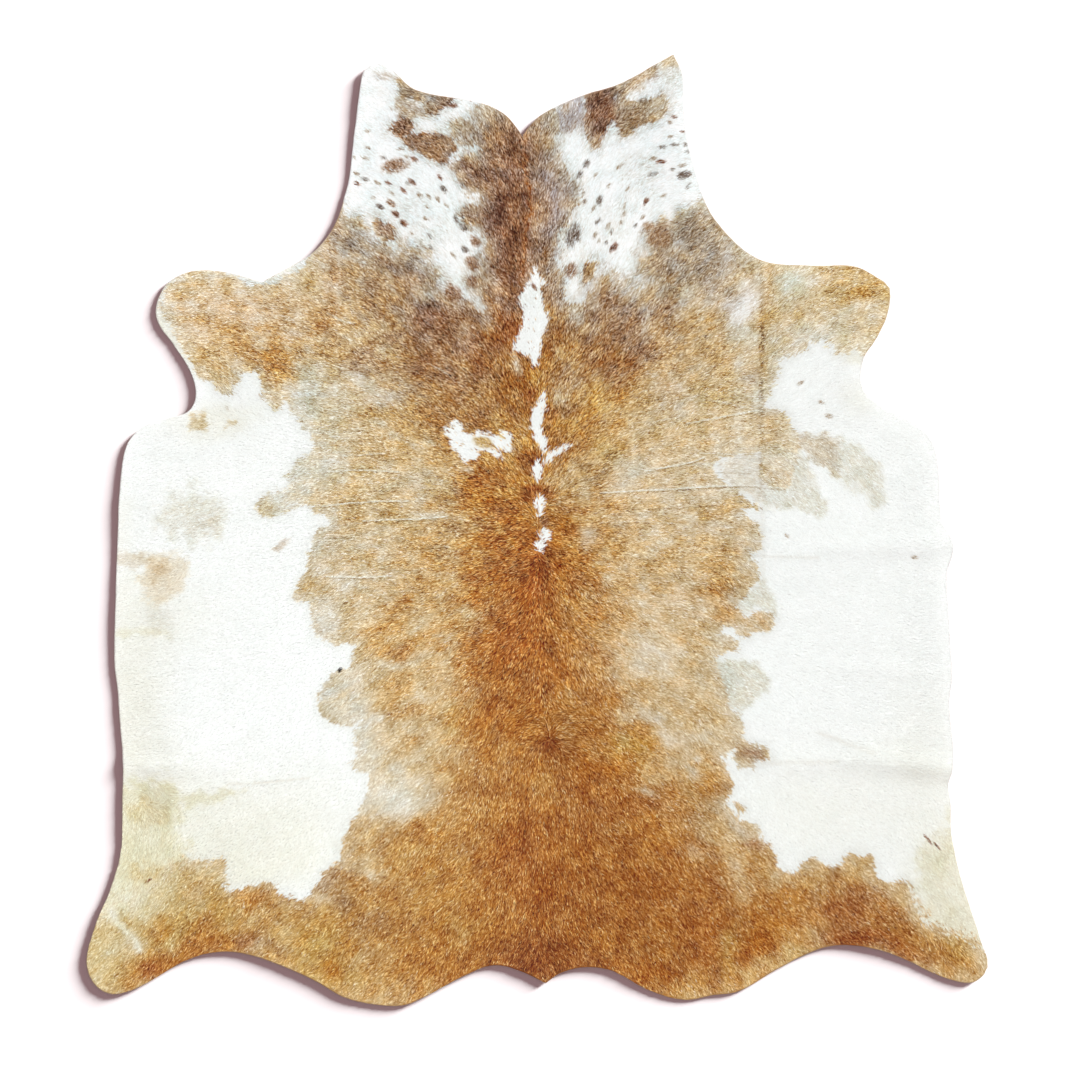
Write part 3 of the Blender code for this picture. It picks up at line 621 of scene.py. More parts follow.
# Single spots and flecks, by their look: tone, how dark they are in the middle, and for each its
# x, y, length, width and turn in degrees
SpotLook = namedtuple("SpotLook", "tone share spots")
SPOTS = [
    SpotLook("cocoa", 0.85, [
        (-31.2, 80, 5.2, 2.7, 12), (-14, 58.5, 3, 2.4, -45), (-14, 54.5, 2.6, 2.2, -30),
        (-18.3, 51.9, 3.4, 3, -60), (-18.6, 53.4, 1.8, 0.7, -70), (7.6, 57, 3, 2.3, 60),
        (-31.8, 71.8, 2, 1.1, -38), (-13.4, 63.4, 2.4, 1.6, -45),
    ]),
    SpotLook("mud", 0.85, [
        (8, 64.7, 5, 2.7, 70), (32.4, 78, 2.8, 1.5, 20), (10.9, 80.5, 1.6, 1.1, 60),
        (9.5, 78.2, 1.3, 0.9, 60), (-34.3, 71, 1.7, 0.9, -35), (-20.4, 74.9, 1.5, 0.9, -45),
        (-17.6, 68.2, 1.6, 0.8, -70), (-15.9, 66.6, 1.8, 1.2, -45), (-15.7, 61.6, 1.3, 1, -45),
        (13.9, 72.4, 2, 1, 75),
    ]),
    SpotLook("umber", 0.95, [
        (-26.8, 81.5, 1.5, 0.8, -20), (-27.3, 76.5, 1.5, 0.8, -40), (-39.3, 76.1, 1.2, 0.7, -20),
        (-30.9, 69.4, 1.6, 0.9, -40), (-29.1, 67.4, 1.6, 1, -40), (-32.5, 76.2, 1.2, 0.5, -30),
        (-29.2, 74.6, 1.5, 0.5, -45), (17, 62.1, 2, 1.2, 65), (27.3, 80.9, 1.9, 0.7, 0),
        (24, 72.2, 1.5, 0.8, 60), (-21.2, 77.5, 1.3, 0.6, -50), (-0.4, 53.4, 1.3, 0.8, -60),
        (32, 87.6, 1, 0.5, 0), (30.2, 90.8, 0.9, 0.5, -20), (-85.2, -77, 1.4, 0.2, 30),
        (86, -68, 2.6, 0.25, -52), (88, -69.4, 2.2, 0.25, -48), (-18.3, 93.2, 2, 0.8, 0),
        (-14.6, 94.8, 1, 0.7, 0),
    ]),
    SpotLook("taupe", 0.8, [(27, 64.6, 5.4, 4.4, 50), (24.6, 66.6, 2.4, 2, 0)]),
    SpotLook("gold", 0.85, [(-11.6, 19.2, 4.2, 2, -12), (-7.4, 20.4, 1.6, 0.3, -35)]),
    SpotLook("mud", 0.62, [
        (25.6, 78.2, 2, 0.8, 20), (29.8, 79.3, 1, 0.5, 20), (27.6, 84.2, 1.6, 0.6, 5),
        (30.2, 84.7, 1.6, 0.5, 0), (32.8, 84.7, 1.3, 0.6, 0), (33.3, 83.1, 1.2, 0.7, 0),
        (-37.7, 77.1, 1.6, 0.8, -15), (-33.5, 81.8, 1.3, 0.7, -25), (13.5, 67.8, 1.4, 0.7, 55),
        (21.6, 66.8, 1, 0.6, 60), (-28.3, 76.1, 0.9, 0.4, -40), (-23.5, 64.7, 1.2, 0.4, -50),
        (-23.2, 62.1, 1.2, 0.4, -50), (33.3, 75.6, 1.4, 0.6, 55), (15.3, 63.1, 1, 0.6, 60),
        (16.5, 65.6, 0.9, 0.5, 60),
    ]),
    SpotLook("smoke", 0.75, [
        (-37.1, 87.6, 1.2, 0.5, -10), (-37.1, 84, 1, 0.4, -10), (-30.1, 83.7, 1.2, 0.4, -10),
        (-37.6, 81.7, 1.4, 0.6, -15), (-40.2, 81.9, 0.8, 0.4, -15), (-28.5, 82, 0.9, 0.4, -40),
        (-39.4, 78.3, 1.2, 0.5, -20), (-34.8, 76.2, 1.4, 0.5, -30), (-31.8, 74.1, 1.4, 0.5, -38),
        (-25.6, 73.5, 1, 0.7, -42), (-23.7, 73.3, 1.2, 0.5, -45), (-21.7, 72.8, 1, 0.5, -45),
        (-19.8, 71.3, 0.9, 0.4, -45), (-27.4, 65.1, 0.9, 0.5, -42), (-24.4, 68.5, 0.8, 0.4, -45),
        (-24, 71, 0.8, 0.4, -45), (-18.3, 60.3, 1.2, 0.5, -48), (-35.7, 73, 0.7, 0.4, -35),
        (18.3, 79.9, 1.6, 0.5, 40), (12.9, 78, 0.9, 0.5, 55), (25.4, 81.6, 1.2, 0.6, 15),
        (32, 80.1, 1.6, 0.6, 10), (36.2, 74.2, 0.8, 0.6, 60), (29.2, 86.5, 1.1, 0.5, 0),
        (29.2, 89.5, 0.9, 0.4, -30), (10.4, 72, 1.2, 0.8, 70), (10.2, 73.8, 1, 0.5, 70),
        (12.4, 70.4, 1.3, 0.5, 55), (15.7, 66.7, 1.4, 0.6, 65), (19.2, 69.6, 0.9, 0.5, 65),
        (19.2, 71.1, 1.1, 0.4, 70), (15.9, 75.8, 1, 0.5, 55), (20, 75, 1, 0.4, 60),
        (13.7, 63.4, 0.9, 0.5, 60), (12.8, 64.8, 1.2, 0.7, 60), (23.2, 65.5, 0.8, 0.5, 55),
        (23.3, 68.7, 1, 0.5, 55), (27.8, 73.5, 1.2, 0.5, 45), (18.6, 67.5, 0.8, 0.5, 58),
        (-12.5, 66.5, 1.8, 1, -45), (64, 25.1, 1.5, 0.7, -20), (58, 32.3, 1.4, 0.5, 30),
        (55, -1.2, 0.9, 0.6, -40), (83, -6, 0.9, 0.5, 0), (-67.9, 26.8, 0.9, 0.35, -60),
        (62.5, 28, 1.2, 0.4, -30),
    ]),
    SpotLook("black", 0.95, [(-43.2, -30.8, 0.9, 0.5, 70)]),
]
SPOT_MARGIN = 0.1  # how much wider than given a spot is on each side
SPOT_END = 1.4  # where a spot ends, in its own half lengths, and over how much it fades
SPOT_FADE = 0.8
SPOT_FRINGE = 0.2
SPOT_LIFE = 0.9

# Tones of the coloured hair, painted one over another: x, y, reach along, reach across, turn in
# degrees, tone, strength
COLOURED_TONES = [
    # back and rump
    (0, -28, 74, 23, 90, "honey", 0.9), (0, -20, 66, 16.5, 90, "orange", 0.95),
    (0, -88, 84, 20, 0, "ginger", 0.9), (6, -84, 46, 17, 0, "orange", 0.9),
    (9, -76, 24, 24, 0, "russet", 0.85), (0, -94, 12, 6, 0, "dark", 0.5),
    (-3, -96, 6, 6, 0, "dark", 0.8), (-10, -60, 9, 8, 0, "orange", 0.6),
    (-25, -68, 10, 8, 0, "ginger", 0.85), (-12, -86, 10, 9, 0, "orange", 0.7),
    (-22, -95, 10, 6, 0, "orange", 0.75), (-25, -80, 9, 8, 0, "ginger", 0.75),
    (0, -74, 6, 14, 0, "rust", 0.45),
    # neck
    (-2, 78, 30, 17, 90, "smoke", 1), (-7, 66, 16, 6, 95, "umber", 0.92),
    (4.6, 72, 16, 4.6, 88, "rosy umber", 0.9), (1.2, 85, 4, 1.4, 85, "orange", 0.6),
    (-6.5, 84, 7, 5, 20, "cocoa", 0.6), (-3, 56, 8, 5, 90, "umber", 0.5),
    (-9, 84, 8, 6, 10, "cocoa", 0.8), (-12.4, 88.4, 4, 3, 10, "smoke", 0.7),
    (-4, 78, 8, 4, 90, "umber", 0.6), (-15.6, 80, 3, 2.6, 0, "taupe", 0.5),
    (3, 86, 4, 2, 80, "smoke", 0.6), (3, 61, 4, 2.6, 90, "taupe", 0.5),
    (-10.5, 53, 4.5, 3.6, -45, "smoke", 0.9), (-2, 70, 17, 0.55, 90, "chestnut", 0.8),
    (-3.2, 70, 8, 2, 90, "taupe", 0.35), (3, 52, 3.5, 2, 90, "taupe", 0.6),
    (-24, 84.5, 8, 4.5, -20, "umber", 0.45), (-24.6, 84.2, 6, 2.6, -20, "cocoa", 0.5),
    (-29.5, 88.2, 5, 4, 20, "cocoa", 1), (-16, 78, 4, 5, 90, "umber", 0.6),
    (-14.5, 69, 3, 3, 0, "cocoa", 0.6), (20, 93, 14, 10, 0, "smoke", 1),
    (14, 91, 6, 2.8, 85, "umber", 0.95), (24, 91, 5, 2.6, 10, "taupe", 0.45),
    (23, 99, 5, 3, 20, "pale smoke", 0.9), (-23, 95, 10, 5, -15, "smoke", 0.95),
    (-20, 93, 2.4, 3, -15, "cocoa", 0.8), (-33.6, 65.4, 3.4, 2.6, 0, "umber", 0.95),
    (-2, 90, 3, 1.6, 0, "umber", 0.6), (-9.4, 51, 2.6, 3, 0, "ash", 0.6),
    (-13.6, 81.6, 2.6, 2, 0, "pale smoke", 0.7), (-9, 76, 5, 3, 90, "cocoa", 0.4),
    (-5, 83, 4, 3, 0, "cocoa", 0.4), (6, 77, 5, 2.4, 90, "pale smoke", 0.4),
    (5, 82, 3, 2.4, 90, "pale smoke", 0.4),
    # left shoulder
    (-27, 52, 17, 13, -10, "taupe", 0.95), (-28, 57, 12, 6, -20, "smoke", 0.85),
    (-22, 44, 10, 9, 0, "cocoa", 0.9), (-27.6, 55, 5, 2.4, -20, "cocoa", 0.6),
    (-23.6, 52, 2.6, 2.4, -30, "ash", 0.65), (-31.5, 35.6, 3, 2, 0, "taupe", 0.6),
    (-23, 47, 4.5, 3.2, 0, "umber", 0.35), (-25, 38, 6, 5, 0, "cocoa", 0.6),
    (-24, 36.5, 3, 2, 0, "chestnut", 0.4), (-32.5, 60, 3.6, 2, -15, "cocoa", 0.6),
    (-33, 56.8, 3.2, 1.6, -10, "oat", 0.5), (-31, 52.5, 3, 1.6, -30, "cocoa", 0.4),
    (-40, 45, 12, 10, 0, "tan", 0.85), (-40, 63, 8, 5.5, -45, "pale smoke", 0.75),
    (-37, 60, 3, 2, -30, "smoke", 0.6), (-45, 61, 4, 4, 0, "pale smoke", 0.6),
    (-37, 50, 6, 5, 0, "taupe", 0.6), (-43.6, 68, 1.4, 4, 0, "taupe", 0.6),
    (-47, 56, 5, 4, 30, "oat", 0.6),
    # left foreleg
    (-63, 45, 26, 13, 0, "sand", 0.95), (-66, 43, 9, 5, 0, "honey", 0.55),
    (-76, 47, 9, 9, 0, "pale sand", 0.8), (-51, 53, 6, 3.4, 0, "sand", 0.8),
    (-47.5, 51.5, 3.5, 3, 0, "oat", 0.6), (-47.5, 44, 6, 3.4, 0, "tan", 0.8),
    (-43.8, 51, 7.5, 1.3, 90, "tan", 0.8), (-67.5, 41.5, 4.2, 3.4, 0, "honey", 0.7),
    (-66, 40.5, 3, 1, 10, "ginger", 0.5), (-77, 53, 5.5, 2.6, 0, "honey", 0.65),
    (-73, 36, 3, 2.6, 0, "honey", 0.6), (-66, 36.6, 4, 2, 0, "pale sand", 0.8),
    (-64, 46.6, 3.8, 2, -10, "oat", 0.7), (-53, 43, 2.6, 1.6, 0, "oat", 0.6),
    (-57.2, 28.2, 3, 2.4, 0, "sand", 0.9), (-69, 51, 4, 2, 0, "pale sand", 0.6),
    (-76, 42, 4, 3, 0, "pale sand", 0.6), (-49, 40.5, 4, 2, 0, "honey", 0.5),
    (-52.4, 47, 4, 3, 0, "sand", 0.5), (-49.6, 38, 4.4, 3, -20, "ginger", 0.6),
    (-72, 46, 4, 2, 0, "honey", 0.6), (-60, 45.6, 3, 1.6, 0, "honey", 0.6),
    (-61, 51.4, 4.4, 2.4, 0, "pale sand", 0.7), (-63.6, 38, 3, 1.6, 0, "pale sand", 0.6),
    (-47.6, 45, 3.4, 3, 0, "ginger", 0.35),
    # left flank, upper
    (-49, 30, 8, 9, 0, "ash", 0.85), (-59, 36.6, 5.6, 4.4, -25, "ginger", 0.9),
    (-57.6, 34.6, 3.2, 3, 0, "copper", 0.75), (-56.6, 29.6, 3, 2.6, 0, "honey", 0.7),
    (-42.5, 28, 5, 3.4, 90, "oat", 0.5), (-37, 32, 7.4, 2.2, -36, "mist", 0.9),
    (-43, 33.6, 3, 2, 0, "sand", 0.7), (-36, 29, 5, 4, 0, "oat", 0.6),
    (-37, 38, 4.4, 2.6, 0, "taupe", 0.55), (-50, 16, 9, 8, 0, "mist", 0.8),
    (-57, 6, 6.5, 4, 0, "ash", 0.95), (-52, 12, 4.4, 3.4, 0, "ash", 0.7),
    (-34, 20, 10, 6, 0, "sand", 0.7), (-24, 24, 7, 6, 0, "tan", 0.8),
    (-29, 22, 3, 2, 0, "ginger", 0.5), (-26, 9.5, 7, 2.6, -12, "oat", 0.6),
    (-22, 3.2, 4.5, 0.9, 0, "mist", 0.7), (-40, 5, 7, 4.4, 0, "honey", 0.45),
    (-41, 2, 3, 1, 10, "ginger", 0.3), (-39, 8.5, 4, 2, 0, "honey", 0.4),
    (-35, 17, 4, 3, 0, "sand", 0.6), (-30, 7.5, 3, 1, 0, "pale sand", 0.5),
    (-22, 6.4, 2.5, 1, 0, "ginger", 0.5), (-36, 26, 3, 1.5, 0, "tan", 0.5),
    # left flank, middle
    (-46, -1, 6, 5, 0, "oat", 0.8), (-38, -3.6, 3, 1.5, 0, "mist", 0.4),
    (-40, -8, 8, 4, 0, "oat", 0.35), (-25, -5, 7, 2.4, 0, "ginger", 0.35),
    (-42, -12, 3.4, 2.2, 30, "mist", 0.6), (-36.5, -9.3, 2.4, 0.9, 0, "mist", 0.5),
    (-47.5, -3, 2, 3, 0, "ash", 0.6), (-48.5, -12.8, 4.4, 3, 15, "sand", 0.8),
    (-49, -13, 2, 1.6, 0, "honey", 0.4), (-46.5, -19.5, 5, 4.4, 60, "mist", 0.9),
    (-43, -22.5, 3, 2.6, 0, "oat", 0.7), (-30, -17.6, 6, 2.3, 30, "ginger", 0.85),
    (-33, -23, 9, 4.2, 30, "honey", 0.8), (-29, -25.4, 5, 1.4, 25, "ginger", 0.7),
    (-31.6, -28.8, 3.2, 1, 20, "mist", 0.75), (-27, -28, 3.4, 1.8, 20, "oat", 0.6),
    (-22, -18, 4, 4, 0, "honey", 0.5), (-36, -22, 5, 1.2, 30, "ginger", 0.4),
    (-25, -37, 5.5, 4.5, 0, "pale sand", 0.5), (-25, -36.4, 2.2, 2, 0, "mist", 0.35),
    (-31, -38, 6, 4, 30, "honey", 0.8), (-29.5, -36, 2, 5, 0, "ginger", 0.35),
    (-32.3, -41, 3, 1.5, 10, "ginger", 0.6), (-43, -37, 6.5, 6, 0, "ash", 0.9),
    (-38, -33, 4, 3, 30, "oat", 0.6), (-28, -32, 6, 3, 30, "honey", 0.5),
    # left flank, lower, and the pale tongue
    (-30, -47, 9, 6, 0, "sand", 0.7), (-38, -47, 5, 6, 0, "mist", 0.85),
    (-36, -42, 5, 1.2, 20, "mist", 0.8), (-27, -46.6, 4.6, 1.4, 30, "ginger", 0.55),
    (-31, -51.5, 3, 1.4, 20, "mist", 0.6), (-38.5, -51.5, 2, 2, 0, "sand", 0.8),
    (-30, -58.5, 9.5, 4.8, 10, "ash", 0.6), (-31, -58.5, 9, 4.6, 10, "mist", 0.9),
    (-25, -55.5, 3, 1.6, 20, "pale sand", 0.6), (-23, -50, 5, 5, 0, "sand", 0.6),
    (-34, -64, 4, 1.5, 0, "tan", 0.6), (-28, -65, 4, 2, 10, "orange", 0.5),
    # left buttock and hind leg
    (-38.5, -68.5, 5.5, 4.6, 0, "tan", 0.85), (-36, -73.5, 5.5, 2.6, -20, "sand", 0.8),
    (-35.4, -75.6, 1.8, 1, -20, "mist", 0.6), (-45.6, -78, 4.2, 2.8, 30, "taupe", 0.9),
    (-42.5, -82, 3.4, 2, 0, "cocoa", 0.6), (-47, -82, 2.8, 1.3, 0, "oat", 0.7),
    (-44, -97, 6.5, 3.2, -20, "gold", 0.9), (-44, -97.4, 3, 2, -20, "amber", 0.6),
    (-48.5, -91, 6.5, 4.4, 0, "gold", 0.85), (-55, -90, 4.4, 4.6, 0, "tan", 0.85),
    (-57, -91.5, 2, 2, 0, "cocoa", 0.35), (-52, -95, 4, 1.6, -28, "gold", 0.5),
    (-62, -81, 5.6, 2.8, 8, "ginger", 0.9), (-62, -80.8, 4, 1.8, 8, "copper", 0.7),
    (-81, -85, 22, 10, 0, "hay", 1), (-63, -86, 7, 4, 0, "tan", 0.7),
    (-67.5, -86, 4, 3, 0, "gold", 0.7), (-74, -76.4, 6, 3.6, 0, "wheat", 0.9),
    (-71.3, -78.6, 2.6, 2.4, 0, "gold", 0.85), (-68, -82, 3.4, 3, 0, "gold", 0.55),
    (-83, -79, 7, 4.4, 0, "wheat", 0.9), (-90, -81, 8, 6, 0, "straw", 0.8),
    (-73, -86.8, 3.2, 2.6, 0, "orange", 0.75), (-77.5, -87.5, 3, 3, 60, "gold", 0.45),
    (-73, -91, 6, 2.6, 14, "orange", 0.9), (-67, -90.3, 5.5, 2.4, 0, "orange", 0.85),
    (-62.5, -90, 2.2, 1.4, 0, "rust", 0.7), (-60, -87.4, 3, 2, 0, "ginger", 0.5),
    (-96, -93, 7, 9, 0, "wheat", 0.95), (-91.6, -97.4, 3, 2, 20, "hay", 0.7),
    (-80, -94.6, 7, 2.6, 24, "orange", 0.9), (-77, -95, 4, 1.6, 20, "rust", 0.3),
    (-87, -97, 4.6, 2.4, 28, "ginger", 0.95), (-84, -96.8, 3, 1.6, 28, "rust", 0.9),
    (-85.4, -93.6, 3, 2.2, 25, "ginger", 0.7), (-83, -87.4, 3.4, 2.4, 0, "gold", 0.6),
    (-35, -85.4, 4, 2.6, 0, "orange", 0.5), (-35, -92, 4, 2.6, 0, "sand", 0.45),
    (-91.6, -85.6, 6.8, 1.4, -57, "cream", 1), (-87.2, -91.6, 2, 1.2, -50, "cream", 0.9),
    (-86.6, -74, 2, 1.2, 0, "pale sand", 0.6),
    # spine, withers to whorl
    (-13, 31, 13, 12, 0, "orange", 0.5), (-11, 27, 9, 9, 0, "cocoa", 0.4),
    (-6, 45, 9, 4.4, 100, "chestnut", 0.85), (-12.8, 40, 3.6, 2.2, 90, "chestnut", 0.6),
    (-11.6, 37.4, 2, 1.8, 0, "chestnut", 0.5), (-15.4, 42.6, 3.6, 2, 75, "pale smoke", 0.8),
    (-15, 48, 5, 3, 0, "cocoa", 0.7), (-5.4, 32, 4, 4, 0, "orange", 0.6),
    (-1.2, 33.6, 3.6, 2.2, 90, "ginger", 0.9), (-2, 30.2, 2, 1.8, 0, "chestnut", 0.5),
    (3, 40, 6, 2.6, 85, "orange", 0.7), (3.4, 50, 3.6, 1.8, 90, "cocoa", 0.6),
    (2.6, 24, 3, 1.6, 90, "chestnut", 0.5), (6.6, 30, 4.4, 2.4, 80, "pale smoke", 0.7),
    (15, 30, 9, 7, 0, "ginger", 0.75), (15, 46, 10, 9, 20, "taupe", 0.9),
    (14, 38, 4, 3.6, 0, "cocoa", 0.6), (28, 49, 3, 2, 0, "cocoa", 0.4),
    (16, 52, 6, 2.4, 0, "cocoa", 0.7), (22, 38.5, 9, 4.4, 15, "cocoa", 0.8),
    (24.4, 45.6, 3, 1.4, 80, "mist", 0.85), (8.2, 46.6, 2.6, 1.6, 80, "mist", 0.6),
    (8, 22, 6, 4, 90, "ginger", 0.6), (5, 21, 3, 2, 60, "orange", 0.5),
    (22, 12, 15, 9, 0, "pale sand", 0.75), (12, 12, 5, 4, 0, "tan", 0.8),
    (8.6, 9, 2.6, 5, 0, "tan", 0.75), (20.4, 14.8, 5, 3.2, 0, "oat", 0.9),
    (54.6, 21, 2.4, 3, 0, "ash", 0.6), (18, 10.4, 3.6, 2.4, 0, "oat", 0.6),
    (10, 4, 4, 2.4, 0, "tan", 0.6), (21.6, 19.5, 4, 4, 0, "tan", 0.7),
    (22, 19, 2.2, 2, 0, "ginger", 0.4), (1.4, 8.4, 2, 1.4, 0, "dark", 0.8),
    (-0.8, 7.4, 1.6, 3, 0, "dark", 0.6), (4.8, 8.6, 1.8, 3.4, 0, "sand", 0.8),
    (-1.4, 14.6, 1.2, 2.4, 0, "chestnut", 0.7), (-0.4, 29, 1.6, 3, 0, "chestnut", 0.7),
    (1.2, 1.6, 0.9, 1.2, 0, "umber", 0.7), (8, 4.8, 4, 1.2, 8, "chestnut", 0.45),
    (11.4, -1.6, 2.6, 2, 10, "oat", 0.7), (1.6, -8, 6, 2, 85, "dark", 0.8),
    (0, -12, 8, 4, 90, "rust", 0.6), (-9, -2, 7, 1.4, 10, "rust", 0.2),
    (-11, -13, 6, 4.4, 90, "orange", 0.6), (-11.6, 7, 5, 3, 90, "orange", 0.5),
    (-5, -25, 10, 6, 90, "russet", 0.75), (2, -32, 8, 4, 90, "russet", 0.7),
    (3, -47, 3.6, 3.6, 0, "dark", 0.8), (-12, -30, 6, 5, 90, "amber", 0.3),
    (-11, -45, 7, 4.6, 90, "orange", 0.75), (-18, -41, 3.6, 3, 0, "gold", 0.6),
    (-18, -55, 5, 4, 0, "ginger", 0.6), (-4, -71, 8, 5, 90, "russet", 0.6),
    (-16, -21, 4, 4, 0, "honey", 0.6), (13, -41, 7, 3.4, 105, "orange", 0.8),
    (15.6, -37, 5, 3, 100, "orange", 0.8), (10.6, -54, 9, 4, 78, "russet", 0.9),
    (15, -50, 5, 3, 60, "orange", 0.8), (16, -59, 5, 5, 0, "russet", 0.8),
    (27, -56.4, 9, 1.8, -38, "copper", 0.65), (-27, -26, 4.4, 2, 15, "ginger", 0.6),
    (-26, -40, 4, 1.6, 0, "ginger", 0.5), (-14, -41, 5, 2, 0, "copper", 0.5),
    (3, -55.4, 2.6, 4.6, 0, "ginger", 0.7), (20.6, -48.4, 4, 2.6, -20, "gold", 0.6),
    (-22, -12, 5, 1.4, 5, "ginger", 0.5), (-14, 11, 4, 3, 0, "rust", 0.3),
    (-5, 36, 2, 0.9, -55, "mist", 0.75), (-15, 13, 2.4, 0.7, -10, "mist", 0.7),
    # right shoulder and foreleg
    (35, 40, 11, 8, 15, "tan", 0.75), (33, 60, 13, 10, 30, "smoke", 0.9),
    (35, 68.4, 5, 3, 20, "pale smoke", 0.6), (31, 59, 4, 3, 0, "smoke", 0.4),
    (27, 64.2, 2.8, 2.4, 60, "umber", 0.5), (32.4, 52.2, 2.4, 1.4, 10, "mist", 0.8),
    (37, 53, 4, 3, 30, "taupe", 0.6), (41, 59, 6, 5, 0, "pale smoke", 0.6),
    (45, 61, 5, 4, 0, "ash", 0.7), (31.2, 61.8, 1.8, 1.6, 0, "mist", 0.7),
    (34, 66.6, 6, 4, 40, "smoke", 0.9), (33, 69.8, 5, 1.4, 20, "ash", 0.7),
    (24, 59, 5, 4, 0, "taupe", 0.4), (20, 53, 3, 2, 0, "ash", 0.5),
    (58, 50, 14, 9, 0, "pale sand", 0.85), (53, 53.5, 6, 5, 0, "oat", 0.6),
    (66, 52, 9, 3, 18, "honey", 0.75), (65, 50, 4, 1.4, 15, "ginger", 0.4),
    (60, 47.4, 5, 2.2, 0, "honey", 0.4), (64, 49.6, 3, 1.8, 10, "ginger", 0.4),
    (73, 55.6, 4, 1.6, -20, "pale sand", 0.6), (73, 53, 5, 3, -20, "honey", 0.9),
    (72.6, 52.6, 2.4, 1.2, -10, "ginger", 0.6), (71.5, 56.4, 4.4, 1.4, -15, "tan", 0.7),
    (63, 55.4, 4, 2, 0, "pale sand", 0.5), (68.4, 48.2, 2.2, 1.7, 0, "mist", 0.85),
    (71.5, 45.6, 4, 3.6, 0, "pale sand", 0.85), (60, 43.4, 9, 3, 8, "oat", 0.95),
    (45, 42, 5, 4, 0, "mist", 0.75), (40, 49, 3.4, 3, 0, "pale smoke", 0.5),
    (66.5, 41, 5.6, 2.6, 0, "cream", 0.6), (52, 46, 4, 4, 0, "honey", 0.6),
    (49.8, 46, 12, 0.9, 90, "tan", 0.8), (49.7, 34, 8, 0.8, 90, "tan", 0.7),
    (51.6, 36, 6, 2, 80, "ash", 0.7), (44.6, 48.4, 5.6, 3.4, 55, "lilac", 1),
    (44.8, 48, 4.2, 2.2, 60, "white", 0.6), (44.2, 52.6, 1.8, 0.9, 60, "white", 0.6),
    # right flank, upper
    (45, 32, 8, 6, 90, "pale sand", 0.55), (45.5, 31, 7, 3.6, 90, "oat", 0.5),
    (30, 30, 11, 8, 0, "sand", 0.7), (31, 27, 6, 4, 10, "oat", 0.5),
    (37, 38.5, 7, 3, 20, "tan", 0.6), (27, 37, 3, 2, 0, "tan", 0.5),
    (47, 33, 2.6, 2, 30, "rosy smoke", 0.6), (45, 21, 6, 5, 0, "pale sand", 0.8),
    (29, 30, 4, 3, 0, "rosy smoke", 0.4), (51.4, 19.6, 3, 2.4, 20, "tan", 0.8),
    (51.5, 24, 2.4, 2, 0, "tan", 0.5), (53, 12, 4.6, 4.4, 90, "oat", 0.9),
    (54.4, 17, 3, 2.6, 0, "ash", 0.8), (47.6, 28, 3, 4, 0, "oat", 0.6),
    (53.6, 22.5, 2, 1.4, -30, "honey", 0.4), (37, 22, 6, 3, 0, "pale sand", 0.5),
    (38, 20, 4, 1.2, 5, "oat", 0.6), (28, 15, 5, 1.4, 10, "pale sand", 0.5),
    (34, 9, 9, 4, 0, "oat", 0.45), (45, 6.4, 4.4, 1.3, -15, "honey", 0.9),
    (42.4, 5, 2, 0.9, 0, "ginger", 0.7), (42.5, 2.4, 5.5, 2.4, -18, "tan", 0.75),
    (26, 2, 7, 4, 0, "pale sand", 0.8), (37, 9, 5, 3, 0, "pale sand", 0.5),
    (38, 0.5, 5, 1.4, 0, "oat", 0.5),
    # right flank, middle
    (46.6, -3, 3.4, 3, 0, "oat", 0.75), (41, -4.6, 6, 1.4, 8, "tan", 0.6),
    (37, -7.4, 6, 3, 0, "honey", 0.8), (40, -12.6, 5.6, 4.2, -15, "tan", 0.85),
    (38, -14, 4, 2.4, 0, "ginger", 0.5), (43, -19.3, 7, 1.6, -6, "ginger", 0.85),
    (50, -20, 3, 2.4, 0, "sand", 0.8), (42.4, -22.2, 3, 1.1, 0, "mist", 0.75),
    (37.5, -25, 5, 2.4, -10, "honey", 0.6), (30, -15, 8, 6, 0, "pale sand", 0.6),
    (20, -10, 6, 6, 0, "honey", 0.7), (13, -20, 7, 4.4, 90, "tan", 0.45),
    (20, -11, 6, 5, 0, "pale sand", 0.6), (25, -28, 8.5, 6, 0, "pale sand", 0.9),
    (26, -28, 5, 3, 0, "oat", 0.5), (33, -19, 3, 2, 0, "oat", 0.5),
    (38, -30.5, 4, 2.6, 0, "sand", 0.6),
    # right flank, lower
    (39, -43, 5, 4, -35, "sand", 0.7), (36, -41, 2.6, 1.4, -30, "tan", 0.6),
    (47, -49, 4.4, 2, -25, "taupe", 0.8), (48.6, -48.8, 1.8, 0.9, -20, "chestnut", 0.45),
    (36.4, -46.3, 3, 1.2, -25, "mist", 0.8), (29, -45.6, 5, 2.2, -15, "oat", 0.8),
    (25, -40.4, 6, 3, 0, "oat", 0.8), (26.4, -40.5, 1, 0.5, 0, "smoke", 0.7),
    (22, -43.6, 3, 2.4, 0, "ginger", 0.8), (32, -41, 3, 2, 0, "sand", 0.6),
    (37.5, -54.5, 6.5, 5, -40, "ginger", 0.85), (40.4, -55.4, 3, 2.2, -60, "orange", 0.55),
    (34, -58, 5, 3, -30, "ginger", 0.6), (24.6, -57, 2.4, 1.4, -20, "oat", 0.6),
    (32.5, -51.6, 3.4, 1.5, -35, "oat", 0.75), (34.8, -49.6, 1, 0.6, 0, "mist", 0.8),
    (20, -48, 6, 4, 0, "ginger", 0.8), (27, -53, 4, 2, -30, "tan", 0.6),
    # right buttock and hind leg
    (23, -61, 5, 3, -20, "rust", 0.6), (25, -67, 8, 5, -20, "copper", 0.8),
    (33, -62, 4, 3, 0, "orange", 0.4), (38.5, -63.5, 6, 5, -35, "tan", 0.8),
    (43.5, -66, 5, 4, -35, "sand", 0.75), (44, -64.6, 3, 1.2, -40, "pale smoke", 0.6),
